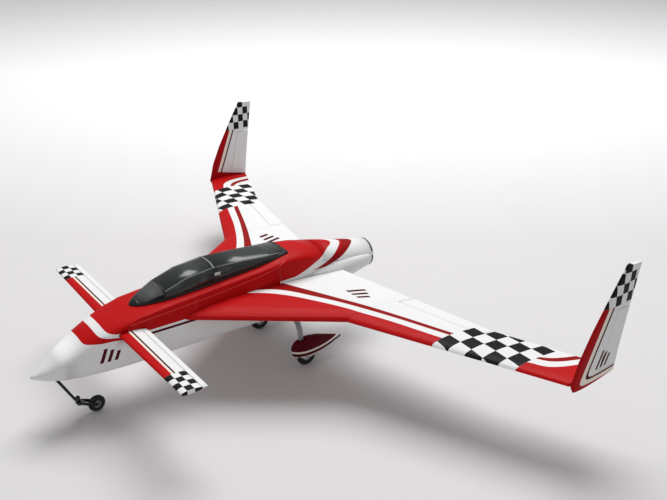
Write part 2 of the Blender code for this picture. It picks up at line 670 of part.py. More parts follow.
def make_wings(mats, root):
    holes = []
    for name, y in (("joiner_front", JOINER_FRONT_Y), ("joiner_rear", JOINER_REAR_Y)):
        bore = rod((-0.110, y, JOINER_Z), (0.110, y, JOINER_Z), JOINER_R + 0.0004)
        holes.append(cutter("cut_" + name, bore))
        body(name, rod((-0.1080, y, JOINER_Z), (0.1080, y, JOINER_Z), JOINER_R), mats["wire"], root)
    for side, tag in ((1, "port"), (-1, "starboard")):
        strake = body("strake_" + tag, loft([wing_ring(ROOT_X, side), wing_ring(KINK_X - GAP, side)]),
                      mats["red"], root)
        for hole in holes:
            boolean(strake, hole)
        bore = rod((side * 0.1620, OUTER_JOINER_Y, OUTER_JOINER_Z),
                   (side * 0.2140, OUTER_JOINER_Y, OUTER_JOINER_Z), 0.0029)
        pin_hole = cutter("cut_outer_joiner_" + tag, bore)
        boolean(strake, pin_hole)
        wing = body("wing_" + tag, loft([wing_ring(x, side) for x in (KINK_X, 0.3400, TIP_X)]),
                    mats["white"], root)
        boolean(wing, pin_hole)
        pin = rod((side * 0.1640, OUTER_JOINER_Y, OUTER_JOINER_Z),
                  (side * 0.2120, OUTER_JOINER_Y, OUTER_JOINER_Z), 0.0025)
        body("outer_joiner_" + tag, pin, mats["wire"], root)

        # Aileron bay: behind a line parallel to the hinge
        bay = []
        for x in (AILERON_IN - 0.0009, AILERON_OUT + 0.0009):
            y = aileron_hinge(x)
            low, high = wing_surfaces(x, y)
            bay.append((x, y - (high - low) / 2 - 0.0006))
        (x0, y0), (x1, y1) = bay
        plan = [(side * x0, y0), (side * x1, y1), (side * x1, y1 + 0.06), (side * x0, y0 + 0.06)]
        boolean(wing, cutter("cut_bay_" + tag, loft([[(x, y, z) for x, y in plan] for z in (0.10, 0.16)])))
        start, end = aileron_axis(AILERON_IN, side), aileron_axis(AILERON_OUT, side)
        reach = (end - start).normalized() * 0.0045
        wire_hole = cutter("cut_aileron_wire_" + tag, rod(start - reach, end + reach, 0.0010, 10))
        boolean(wing, wire_hole)
        axis = empty("aileron_joint_" + tag, start, root)
        vane = loft([aileron_ring(AILERON_IN, side), aileron_ring(AILERON_OUT, side)])
        aileron = body("aileron_" + tag, vane, mats["white"], axis)
        boolean(aileron, wire_hole)
        wire = rod(start - 0.9 * reach, end + 0.9 * reach, 0.0007, 10)
        body("aileron_wire_" + tag, wire, mats["wire"], root)

        make_winglet(mats, root, side, tag)


def make_winglet(mats, root, side, tag):
    winglet = body("winglet_" + tag, loft([winglet_ring(row, side) for row in WINGLET]), mats["white"], root)
    z0, z1 = RUDDER_BOTTOM[1] - 0.0008, RUDDER_TOP[1] + 0.0016
    edge = [(rudder_hinge(z) - rudder_half(z, rudder_hinge(z)) - 0.0006, z) for z in (z0, z1)]
    side_view = [edge[0], (edge[0][0] + 0.08, z0), (edge[1][0] + 0.06, z1), edge[1]]
    boolean(winglet, cutter("cut_rudder_bay_" + tag, extruded(side_view, side * 0.49, side * 0.52)))
    start = Vector((side * winglet_at(RUDDER_BOTTOM[1])[2], *RUDDER_BOTTOM))
    end = Vector((side * winglet_at(RUDDER_TOP[1])[2], *RUDDER_TOP))
    reach = (end - start).normalized() * 0.0045
    wire_hole = cutter("cut_rudder_wire_" + tag, rod(start - reach, end + reach, 0.0009, 10))
    boolean(winglet, wire_hole)
    axis = empty("rudder_joint_" + tag, start, root)
    heights = (RUDDER_BOTTOM[1], 0.1650, 0.2010, RUDDER_TOP[1])
    rudder = body("rudder_" + tag, loft([rudder_ring(z, side) for z in heights]), mats["white"], axis)
    pin = cutter("add_rudder_pin_" + tag, rod(start - 0.85 * reach, end + 0.85 * reach, 0.0006, 10))
    boolean(rudder, pin, "UNION")


def wheel(names, centre, radius, half, mats, axis):
    """A rubber tyre on a turned hub, both bored for the axle."""
    rim = radius * 0.56
    tyre = []
    for k in range(9):
        a = math.pi * k / 8
        grow = (radius - rim) * (0.35 + 0.65 * math.sin(a) ** 0.8)
        tyre.append((-half * math.cos(a), rim + grow))
    tyre += [(half * 0.78, rim), (-half * 0.78, rim)]
    body(names[0], turned(tyre, centre), mats["rubber"], axis)
    r = rim - GAP
    hub = [(-half * 0.70, r), (half * 0.70, r), (half * 0.70, r * 0.86), (half * 0.40, r * 0.72),
           (half * 0.40, r * 0.42), (half * 0.85, r * 0.36), (half * 0.85, 0.0014), (-half * 0.85, 0.0014),
           (-half * 0.85, r * 0.36), (-half * 0.40, r * 0.42), (-half * 0.40, r * 0.72),
           (-half * 0.70, r * 0.86)]
    body(names[1], turned(hub, centre), mats["grey"], axis)


def make_nose_gear(mats, root):
    py, pz = NOSE_PIVOT
    bracket = [(py - 0.0065, pz + 0.0082), (py - 0.0065, pz - 0.0045), (py + 0.0055, pz - 0.0045),
               (py + 0.0085, pz + 0.0082)]
    frame = body("nose_gear_bracket", extruded(bracket, -0.0052, 0.0052), mats["grey"], root)
    boolean(frame, cutter("cut_bracket", box(-0.0032, 0.0032, py - 0.02, py + 0.03, 0.05, pz + 0.0062)))
    hole = cutter("cut_nose_pivot", rod((-0.01, py, pz), (0.01, py, pz), 0.0018, 14))
    boolean(frame, hole)
    body("nose_gear_pin", rod((-0.0051, py, pz), (0.0051, py, pz), 0.0014, 14), mats["wire"], root)

    leg_axis = empty("nose_leg_joint", (0, py, pz), root)
    ky, kz = KNUCKLE
    leg = body("nose_leg", rod((-0.0027, py, pz), (0.0027, py, pz), 0.0042, 20), mats["dark"], leg_axis)
    top = Vector((0, py, pz))
    foot = Vector((0, ky - 0.0032, kz - 0.0005))
    away = (foot - top).normalized()
    shaft = rod(top + away * 0.0015, foot - away * 0.0012, 0.0026, 14, 0.0021)
    boolean(leg, cutter("add_leg_shaft", shaft), "UNION")
    barrel = rod((0, ky, kz - 0.0040), (0, ky, kz + 0.0040), 0.0036, 18)
    boolean(leg, cutter("add_leg_barrel", barrel), "UNION")
    boolean(leg, hole)
    boolean(leg, cutter("cut_caster_bore", rod((0, ky, kz - 0.01), (0, ky, kz + 0.01), 0.0016, 14)))

    caster = empty("caster_joint", (0, ky, kz), leg_axis)
    wy, wz = NOSE_WHEEL
    head = rod((0, ky, kz - 0.0068), (0, ky, kz - 0.0043), 0.0040, 18)
    fork = body("caster_fork", head, mats["grey"], caster)
    pin = rod((0, ky, kz - 0.0060), (0, ky, kz + 0.0052), 0.0013, 14)
    boolean(fork, cutter("add_fork_pin", pin), "UNION")
    cap = rod((0, ky, kz + 0.0043), (0, ky, kz + 0.0054), 0.0022, 14)
    boolean(fork, cutter("add_fork_cap", cap), "UNION")
    crown = [(ky - 0.0030, kz - 0.0066), (ky + 0.0030, kz - 0.0046), (ky + 0.0090, kz - 0.0066),
             (ky + 0.0085, kz - 0.0092)]
    boolean(fork, cutter("add_fork_crown", extruded(crown, -0.0072, 0.0072)), "UNION")
    for side, tag in ((1, "port"), (-1, "starboard")):
        arm = [(ky + 0.0050, kz - 0.0060), (ky + 0.0088, kz - 0.0062), (wy + 0.0024, wz + 0.0026),
               (wy + 0.0024, wz - 0.0024), (wy - 0.0014, wz - 0.0022), (ky + 0.0048, kz - 0.0090)]
        x0, x1 = sorted((side * 0.0054, side * 0.0070))
        boolean(fork, cutter("add_fork_arm_" + tag, extruded(arm, x0, x1)), "UNION")
    boolean(fork, cutter("cut_fork_axle", rod((-0.01, wy, wz), (0.01, wy, wz), 0.0013, 12)))
    body("nose_axle", rod((-0.0078, wy, wz), (0.0078, wy, wz), 0.0010, 12), mats["wire"], caster)
    spin = empty("nose_wheel_joint", (0, wy, wz), caster)
    wheel(("nose_tyre", "nose_hub"), (0, wy, wz), NOSE_R, NOSE_HALF_W, mats, spin)


def bow_path():
    """Centre line (x, z) of the port half of the leaf-spring bow."""
    return [(0.0, 0.0838), (0.0440, 0.0836), (0.0570, 0.0812), (0.0658, 0.0752), (0.0708, 0.0665),
            (0.0732, 0.0565), (0.0742, 0.0440)]


def pant_ring(y, x, low, high, half):
    ring = []
    for i in range(20):
        a = 2 * math.pi * i / 20
        ring.append((x + half * signed_power(math.cos(a), 0.85), y,
                     (low + high) / 2 + (high - low) / 2 * signed_power(math.sin(a), 0.9)))
    return ring


PANT = [  # y, underside z, top z, share of the half-width
    (0.0600, 0.0290, 0.0375, 0.12),
    (0.0625, 0.0238, 0.0430, 0.45),
    (0.0690, 0.0165, 0.0485, 0.78),
    (0.0800, 0.0120, 0.0520, 0.98),
    (0.0930, 0.0112, 0.0525, 1.00),
    (0.1100, 0.0132, 0.0495, 0.86),
    (0.1280, 0.0190, 0.0440, 0.60),
    (0.1450, 0.0252, 0.0382, 0.32),
    (0.1590, 0.0295, 0.0335, 0.08),
]


def make_main_gear(mats, root):
    path = bow_path()
    full = [(-x, z) for x, z in path[:0:-1]] + path
    rings = []
    for k, (x, z) in enumerate(full):
        a = Vector(full[max(k - 1, 0)])
        b = Vector(full[min(k + 1, len(full) - 1)])
        run = (b - a).normalized()
        out = Vector((-run.y, run.x)) * BOW_T / 2
        rings.append([(x + out.x, BOW_Y0, z + out.y), (x + out.x, BOW_Y1, z + out.y),
                      (x - out.x, BOW_Y1, z - out.y), (x - out.x, BOW_Y0, z - out.y)])
    body("gear_bow", loft(rings), mats["grey"], root)
    body("gear_block", box(-0.0240, 0.0240, 0.0680, 0.0900, 0.0855, 0.0925), mats["ply"], root)

    for side, tag in ((1, "port"), (-1, "starboard")):
        cx = side * MAIN_X
        pant = body("wheel_pant_" + tag,
                    loft([pant_ring(y, cx, low, high, PANT_HALF_W * share) for y, low, high, share in PANT]),
                    mats["maroon"], root)
        cavity = rod((cx - 0.0072, MAIN_Y, MAIN_R), (cx + 0.0072, MAIN_Y, MAIN_R), MAIN_R + 0.0020, 28)
        boolean(pant, cutter("cut_wheel_" + tag, cavity))
        x0, x1 = cx - 0.0042, cx + 0.0042
        pocket = box(x0, x1, BOW_Y0 - 0.0005, BOW_Y1 + 0.0005, 0.0425, 0.07)
        boolean(pant, cutter("cut_bow_pocket_" + tag, pocket))
        boolean(pant, cutter("cut_axle_" + tag, rod((cx - 0.02, MAIN_Y, MAIN_R), (cx + 0.02, MAIN_Y, MAIN_R),
                                                   0.0014, 12)))
        axle = rod((cx - 0.0104, MAIN_Y, MAIN_R), (cx + 0.0104, MAIN_Y, MAIN_R), 0.0010, 12)
        body("main_axle_" + tag, axle, mats["wire"], root)
        spin = empty("main_wheel_joint_" + tag, (cx, MAIN_Y, MAIN_R), root)
        wheel(("main_tyre_" + tag, "main_hub_" + tag), (cx, MAIN_Y, MAIN_R), MAIN_R, MAIN_HALF_W, mats, spin)


def main():
    clear_scene()
    mats = make_materials()
    root = empty("airframe", (0, 0, 0))
    make_fuselage(mats, root)
    make_cheeks(mats, root)
    make_cockpit(mats, root)
    make_canopy(mats, root)
    make_canard(mats, root)
    make_wings(mats, root)
    make_nose_gear(mats, root)
    make_main_gear(mats, root)


main()
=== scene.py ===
"""Looks of a painted balsa canard glider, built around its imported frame. Metres, nose to -Y, +Z up."""

from __future__ import annotations

import json
import logging
import math
from dataclasses import dataclass, field
from enum import Enum
from typing import Callable, Sequence

import bpy
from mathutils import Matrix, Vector

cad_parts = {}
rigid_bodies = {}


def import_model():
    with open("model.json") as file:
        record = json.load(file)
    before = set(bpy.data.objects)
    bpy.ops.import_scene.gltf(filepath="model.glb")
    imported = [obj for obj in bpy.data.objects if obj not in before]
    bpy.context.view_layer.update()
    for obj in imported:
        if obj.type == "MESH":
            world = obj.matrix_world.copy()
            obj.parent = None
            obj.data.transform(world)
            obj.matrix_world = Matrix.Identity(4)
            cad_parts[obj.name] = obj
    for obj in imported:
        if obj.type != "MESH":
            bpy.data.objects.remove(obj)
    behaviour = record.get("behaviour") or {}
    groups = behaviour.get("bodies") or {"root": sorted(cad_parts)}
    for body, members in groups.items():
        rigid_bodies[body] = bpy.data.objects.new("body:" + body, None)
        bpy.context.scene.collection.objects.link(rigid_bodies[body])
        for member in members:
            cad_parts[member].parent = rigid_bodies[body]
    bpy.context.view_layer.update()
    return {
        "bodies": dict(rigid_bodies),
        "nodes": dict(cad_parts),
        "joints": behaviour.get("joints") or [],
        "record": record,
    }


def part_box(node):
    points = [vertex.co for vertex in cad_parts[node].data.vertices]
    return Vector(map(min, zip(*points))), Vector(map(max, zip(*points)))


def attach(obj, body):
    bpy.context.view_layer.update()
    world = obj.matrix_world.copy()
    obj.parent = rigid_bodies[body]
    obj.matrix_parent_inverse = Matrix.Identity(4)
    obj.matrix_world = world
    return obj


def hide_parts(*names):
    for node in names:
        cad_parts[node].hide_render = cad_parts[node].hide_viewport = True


LOG = logging.getLogger("glider")
Colour = tuple[float, float, float]
Line = Sequence[tuple[float, float]]


class Side(Enum):
    """The two sides of the glider, with the sign of X on each."""

    PORT = 1
    STARBOARD = -1

    @property
    def tag(self) -> str:
        """The side's name as it stands in a node name."""
        return self.name.lower()


@dataclass(frozen=True)
class Palette:
    """The paint colours, as linear light."""

    white: Colour = (0.765, 0.765, 0.765)
    cream: Colour = (0.83, 0.76, 0.68)
    red: Colour = (0.46, 0.004, 0.005)
    deep_red: Colour = (0.27, 0.003, 0.003)
    maroon: Colour = (0.070, 0.001, 0.009)
    black: Colour = (0.010, 0.009, 0.010)


PAINTS = Palette()


class Reading:
    """A number that varies over a surface, held as a socket of a material's node tree."""

    def __init__(self, tree: bpy.types.NodeTree, socket: bpy.types.NodeSocket) -> None:
        """Keeps the tree and the socket.

        Args:
            tree: The node tree that the socket is in.
            socket: The output that carries the number.
        """
        self.tree = tree
        self.socket = socket

    def math(self, operation: str, *others: "Reading | float") -> "Reading":
        """One Math node.

        Args:
            operation: The node's operation.
            others: The other numbers it takes.

        Returns:
            The node's result.
        """
        node = self.tree.nodes.new("ShaderNodeMath")
        node.operation = operation
        for place, value in enumerate((self, *others)):
            if isinstance(value, Reading):
                self.tree.links.new(value.socket, node.inputs[place])
            else:
                node.inputs[place].default_value = value
        return Reading(self.tree, node.outputs[0])

    def __add__(self, other: "Reading | float") -> "Reading":
        """The sum."""
        return self.math("ADD", other)

    def __sub__(self, other: "Reading | float") -> "Reading":
        """The difference."""
        return self.math("SUBTRACT", other)

    def __mul__(self, other: "Reading | float") -> "Reading":
        """The product."""
        return self.math("MULTIPLY", other)

    def above(self, edge: "Reading | float", soft: float = 0.0003) -> "Reading":
        """A mask of where the number is over an edge.

        Args:
            edge: The number's value at the edge.
            soft: The width over which the mask rises.

        Returns:
            1 over the edge and 0 under it.
        """
        rise = (self - edge) * (1.0 / soft) + 0.5
        return rise.math("MAXIMUM", 0.0).math("MINIMUM", 1.0)

    def within(self, low: "Reading | float", high: "Reading | float", soft: float = 0.0003) -> "Reading":
        """A mask of where the number lies between two edges."""
        return self.above(low, soft) * self.below(high, soft)

    def below(self, edge: "Reading | float", soft: float = 0.0003) -> "Reading":
        """A mask of where the number is under an edge."""
        return self.above(edge, soft).flip()

    def flip(self) -> "Reading":
        """One less the number."""
        return self * -1.0 + 1.0

    def along(self, line: Line) -> "Reading":
        """The height of a smooth line at this number.

        Args:
            line: The few places that the line passes through, in order.

        Returns:
            The line's height here.
        """
        places, heights = [p for p, _ in line], [h for _, h in line]
        low, high = min(heights) - 1e-4, max(heights) + 1e-4
        node = self.tree.nodes.new("ShaderNodeFloatCurve")
        curve = node.mapping.curves[0]
        while len(curve.points) < len(line):
            curve.points.new(0.5, 0.5)
        for point, (place, height) in zip(curve.points, line):
            point.location = (
                (place - places[0]) / (places[-1] - places[0]),
                (height - low) / (high - low),
            )
            point.handle_type = "AUTO_CLAMPED"
        node.mapping.update()
        share = (self - places[0]) * (1.0 / (places[-1] - places[0]))
        self.tree.links.new(share.socket, node.inputs["Value"])
        return Reading(self.tree, node.outputs[0]) * (high - low) + low


@dataclass(frozen=True)
class Sweep:
    """A trim edge that runs level, climbs in one smooth S and runs level again."""

    start: float
    end: float
    low: float
    high: float

    def over(self, along: Reading, height: Reading) -> Reading:
        """How far a height is over the edge.

        Args:
            along: The place along the edge.
            height: The height there.

        Returns:
            The height over the edge.
        """
        share = (along - self.start) * (1.0 / (self.end - self.start))
        share = share.math("MAXIMUM", 0.0).math("MINIMUM", 1.0)
        climb = share * share * (share * -2.0 + 3.0)
        return height - (climb * (self.high - self.low) + self.low)


@dataclass(frozen=True)
class Mark:
    """Where a trim mark of three bars stands, and its size."""

    along: float
    up: float
    width: float
    height: float

    def share(self, along: Reading, up: Reading) -> tuple[Reading, Reading]:
        """The place along and up the mark, each from 0 to 1."""
        return (along - self.along) * (1 / self.width), (up - self.up) * (1 / self.height)


class Brush:
    """A material being painted: a base coat, layers over it, and the surface's gloss and grain."""

    def __init__(self, name: str, base: Colour) -> None:
        """Starts the material.

        Args:
            name: The material's name.
            base: The base coat.
        """
        self.material = bpy.data.materials.new(name)
        self.material.use_nodes = True
        self.tree = self.material.node_tree
        self.shader = self.tree.nodes["Principled BSDF"]
        coordinates = self.tree.nodes.new("ShaderNodeTexCoord")
        self.point = coordinates.outputs["Object"]
        split = self.tree.nodes.new("ShaderNodeSeparateXYZ")
        self.tree.links.new(self.point, split.inputs[0])
        self.x, self.y, self.z = (Reading(self.tree, out) for out in split.outputs)
        self.out = self.x.math("ABSOLUTE")
        start = self.tree.nodes.new("ShaderNodeRGB")
        start.outputs[0].default_value = (*base, 1.0)
        self.colour = start.outputs[0]

    def noise(self, scale: float, detail: float = 3.0, stretch: Colour = (1.0, 1.0, 1.0)) -> Reading:
        """Smooth noise over the surface.

        Args:
            scale: Blotches to the metre.
            detail: Octaves of finer noise.
            stretch: How much the noise is squeezed along each axis.

        Returns:
            The noise, from 0 to 1.
        """
        place = self.tree.nodes.new("ShaderNodeMapping")
        place.inputs["Scale"].default_value = stretch
        node = self.tree.nodes.new("ShaderNodeTexNoise")
        node.inputs["Scale"].default_value = scale
        node.inputs["Detail"].default_value = detail
        self.tree.links.new(self.point, place.inputs["Vector"])
        self.tree.links.new(place.outputs[0], node.inputs["Vector"])
        return Reading(self.tree, node.outputs[0])

    def coat(self, colour: Colour, mask: Reading, blend: str = "MIX") -> "Brush":
        """Lays a colour over what is there.

        Args:
            colour: The colour.
            mask: Where it goes.
            blend: How the two colours mix.

        Returns:
            The brush itself.
        """
        mix = self.tree.nodes.new("ShaderNodeMix")
        mix.data_type = "RGBA"
        mix.blend_type = blend
        mix.inputs[7].default_value = (*colour, 1.0)
        self.tree.links.new(mask.socket, mix.inputs[0])
        self.tree.links.new(self.colour, mix.inputs[6])
        self.colour = mix.outputs[2]
        return self

    def checks(self, mask: Reading, across: Reading, along: Reading, odd: bool = False) -> "Brush":
        """Paints a white field with black squares.

        Args:
            mask: Where the field lies.
            across: The column, as a number that rises by one a square.
            along: The row, the same way.
            odd: Whether the squares with an odd row and column sum are the black ones.

        Returns:
            The brush itself.
        """
        total = across.math("FLOOR") + along.math("FLOOR") + (1.0 if odd else 0.0)
        parity = total.math("FLOORED_MODULO", 2.0)
        self.coat(PAINTS.white, mask)
        return self.coat(PAINTS.black, mask * parity.below(0.5, 0.1))

    def bars(self, across: Reading, up: Reading, mask: Reading | None = None) -> "Brush":
        """Three plain slanted bars that get shorter, as a trim mark.

        Args:
            across: The place along the mark, from 0 to 1.
            up: The place up the mark, from 0 to 1.
            mask: Where else the mark is held to.

        Returns:
            The brush itself.
        """
        lean = across - up * 0.22
        for place, top in ((0.08, 0.95), (0.34, 0.80), (0.60, 0.65)):
            bar = lean.within(place, place + 0.13, 0.01) * up.within(0.05, top, 0.01)
            self.coat(PAINTS.maroon, bar * mask if mask else bar)
        return self

    def finish(self, rough: float, bump: float = 0.06, grain: float = 220.0, coat: float = 0.0,
               metal: float = 0.0, stretch: Colour = (1.0, 1.0, 1.0), mottle: float = 0.06,
               spread: float = 0.10, shine: float = 0.3) -> bpy.types.Material:
        """Gives the surface its gloss, its grain and a little unevenness.

        Args:
            rough: The mean roughness.
            bump: The strength of the grain's relief.
            grain: Grains to the metre.
            coat: The weight of a clear coat.
            metal: How metallic it is.
            stretch: How much the grain is squeezed along each axis.
            mottle: How much the colour varies.
            spread: How much the roughness varies.
            shine: The strength of the shader's own reflection.

        Returns:
            The finished material.
        """
        wide = self.noise(14.0, 4.0)
        shade = wide * (mottle * 2.0) + (1.0 - mottle)
        tint = self.tree.nodes.new("ShaderNodeMix")
        tint.data_type, tint.blend_type = "RGBA", "MULTIPLY"
        tint.inputs[0].default_value = 1.0
        grey = self.tree.nodes.new("ShaderNodeCombineColor")
        for channel in grey.inputs:
            self.tree.links.new(shade.socket, channel)
        self.tree.links.new(self.colour, tint.inputs[6])
        self.tree.links.new(grey.outputs[0], tint.inputs[7])
        self.tree.links.new(tint.outputs[2], self.shader.inputs["Base Color"])
        fine = self.noise(grain, 3.0, stretch)
        gloss = self.noise(40.0, 5.0) * (spread * 2.0) + (rough - spread)
        self.tree.links.new(gloss.socket, self.shader.inputs["Roughness"])
        relief = self.tree.nodes.new("ShaderNodeBump")
        relief.inputs["Strength"].default_value = bump
        relief.inputs["Distance"].default_value = 0.0004
        self.tree.links.new(fine.socket, relief.inputs["Height"])
        self.tree.links.new(relief.outputs[0], self.shader.inputs["Normal"])
        self.shader.inputs["Metallic"].default_value = metal
        self.shader.inputs["Specular IOR Level"].default_value = shine
        self.shader.inputs["Coat Weight"].default_value = coat
        self.shader.inputs["Coat Roughness"].default_value = 0.12
        return self.material


@dataclass(frozen=True)
class GlossPaint:
    """Sprayed gloss paint over sheeted balsa, with the wood's grain faint under it."""

    rough: float = 0.50
    clear: float = 0.02
    shine: float = 0.07
    grain: float = 900.0
    relief: float = 0.10

    def over(self, brush: Brush, stretch: Colour = (1.0, 0.12, 1.0)) -> bpy.types.Material:
        """The paint's gloss and grain over a painted pattern."""
        return brush.finish(self.rough, self.relief, self.grain, coat=self.clear, stretch=stretch,
                            mottle=0.03, spread=0.08, shine=self.shine)


@dataclass(frozen=True)
class HullPaint:
    """Fuselage trim: a red deck with white and dark stripes sweeping down the nose and up the cowl."""

    nose_low: Line = ((-0.300, 0.134), (-0.235, 0.133), (-0.165, 0.126), (-0.090, 0.126))
    nose_white: Line = ((-0.300, 0.158), (-0.216, 0.136), (-0.165, 0.130), (-0.090, 0.130))
    nose_deck: Line = ((-0.300, 0.165), (-0.216, 0.142), (-0.165, 0.134), (-0.090, 0.134))
    crease: Line = ((-0.200, 0.150), (0.000, 0.165), (0.043, 0.171), (0.075, 0.181))
    tail_red: Sweep = Sweep(0.085, 0.175, 0.148, 0.173)
    tail_white: Sweep = Sweep(0.120, 0.208, 0.148, 0.169)
    tail_dark: Sweep = Sweep(0.150, 0.238, 0.148, 0.1635)
    corner: float = 0.010
    patch_front: float = -0.267
    stripe_front: float = -0.246
    deck_front: float = -0.234
    # Where the painted shade behind the canard begins.
    dark_from: float = -0.196
    wing_front: float = -0.090
    wing_top: float = 0.062
    root_z: float = 0.129
    # The light line along the deck's crease is a painted highlight, not trim.
    fold_colour: Colour = (0.72, 0.07, 0.06)
    fold_width: float = 0.0005
    flank: float = 0.036
    mark: Mark = Mark(-0.252, 0.099, 0.042, 0.026)

    def material(self) -> bpy.types.Material:
        """The painted hull.

        Returns:
            The material of the shell, nose block, cowls and cheeks.
        """
        brush = Brush("hull_paint", PAINTS.white)
        ahead, aft = brush.y.below(self.wing_front), brush.y.above(self.wing_top)

        def swept(front: float, line: Line) -> Reading:
            """The depth behind a front edge and over a lower line, with a round corner."""
            return (brush.y - front).math("SMOOTH_MIN", brush.z - brush.y.along(line), self.corner)

        patch = swept(self.patch_front, self.nose_low)
        brush.coat(PAINTS.red, patch.above(0.0) * ahead)
        # Painted shade: the red patch turns maroon aft of the canard, where it lies in shade.
        brush.coat(PAINTS.maroon, patch.above(0.0) * ahead * brush.y.above(self.dark_from, 0.012))
        brush.coat(PAINTS.white, swept(self.stripe_front, self.nose_white).above(0.0) * ahead)
        brush.coat(PAINTS.red, swept(self.deck_front, self.nose_deck).above(0.0) * ahead)
        brush.coat(PAINTS.red, brush.z.above(self.root_z) * (ahead.flip() * aft.flip()))
        dark = self.tail_dark.over(brush.y, brush.z)
        brush.coat(PAINTS.deep_red, dark.above(0.0) * aft)
        brush.coat(PAINTS.red, dark.above(0.009, 0.006) * brush.y.above(0.19, 0.02))
        brush.coat(PAINTS.white, self.tail_white.over(brush.y, brush.z).above(0.0) * aft)
        brush.coat(PAINTS.red, self.tail_red.over(brush.y, brush.z).above(0.0) * aft)
        # Painted highlight: a thin lighter red line along the crease, on the flanks from the canard to the
        # canopy's end.
        crease_highlight = (brush.z - brush.y.along(self.crease)).math("ABSOLUTE").below(self.fold_width, 0.0006)
        run = brush.y.within(self.crease[0][0] + 0.002, self.crease[-1][0] - 0.001, 0.004)
        brush.coat(self.fold_colour, crease_highlight * brush.out.above(self.flank) * run)
        brush.bars(*self.mark.share(brush.y, brush.z), brush.out.above(0.02))
        return GlossPaint().over(brush)


@dataclass(frozen=True)
class WingPaint:
    """Wing trim: a red leading edge, a white and a dark stripe, a field of checks and a curved tip."""

    red_edge: Line = ((0.040, -0.006), (0.070, 0.035), (0.120, 0.073), (0.205, 0.120), (0.320, 0.168))
    dark_edge: Line = ((0.040, 0.012), (0.060, 0.047), (0.110, 0.083), (0.200, 0.131), (0.320, 0.182))
    field_edge: Line = ((0.040, 0.065), (0.180, 0.133), (0.320, 0.191))
    tip_red: Line = ((0.430, 0.220), (0.463, 0.246), (0.484, 0.320))
    tip_dark: Line = ((0.430, 0.237), (0.453, 0.257), (0.472, 0.320))
    tip_field: Line = ((0.430, 0.244), (0.446, 0.266), (0.461, 0.320))
    checks_from: float = 0.317
    first_row: float = 0.206
    columns: int = 5
    square: float = 0.023
    row: float = 0.025
    mark: Mark = Mark(0.112, 0.137, 0.052, 0.034)

    def material(self) -> bpy.types.Material:
        """The painted wing.

        Returns:
            The material of the strake, outer wing and aileron.
        """
        brush = Brush("wing_paint", PAINTS.white)
        out = brush.out
        inner = out.below(self.checks_from)
        tip = out.above(self.checks_from + self.columns * self.square)
        # The dark stripe is real trim; where it widens towards the root it is painted shade over the red.
        brush.coat(PAINTS.deep_red, inner * brush.y.below(out.along(self.field_edge)))
        brush.coat(PAINTS.white, inner * brush.y.below(out.along(self.dark_edge)))
        brush.coat(PAINTS.red, inner * brush.y.below(out.along(self.red_edge)))
        brush.checks(inner.flip() * tip.flip(), (out - self.checks_from) * (1 / self.square) + 10.0,
                     (brush.y - self.first_row) * (1 / self.row) + 10.0)
        brush.coat(PAINTS.deep_red, tip * brush.y.below(out.along(self.tip_field)))
        brush.coat(PAINTS.white, tip * brush.y.below(out.along(self.tip_dark)))
        brush.coat(PAINTS.red, tip * brush.y.below(out.along(self.tip_red)))
        brush.bars(*self.mark.share(brush.out, brush.y))
        return GlossPaint().over(brush, (0.12, 1.0, 1.0))


@dataclass(frozen=True)
class CanardPaint:
    """Canard trim: a red leading edge, a cream and a dark stripe, and checked tips."""

    red_to: float = -0.2020
    cream_to: float = -0.1987
    dark_to: float = -0.1960
    checks_from: float = 0.1832
    hinge_y: float = -0.1815
    square: float = 0.0122
    row: float = 0.0110

    def material(self) -> bpy.types.Material:
        """The painted canard.

        Returns:
            The material of the canard and its elevators.
        """
        brush = Brush("canard_paint", PAINTS.white)
        brush.coat(PAINTS.maroon, brush.y.below(self.dark_to))
        brush.coat(PAINTS.cream, brush.y.below(self.cream_to))
        brush.coat(PAINTS.red, brush.y.below(self.red_to))
        tip = brush.out.above(self.checks_from)
        brush.checks(tip, (brush.out - self.checks_from) * (1 / self.square) + 10.0,
                     (brush.y - self.hinge_y) * (-1 / self.row) + 10.0)
        brush.coat(PAINTS.white, brush.y.above(self.hinge_y))
        return GlossPaint().over(brush, (0.12, 1.0, 1.0))


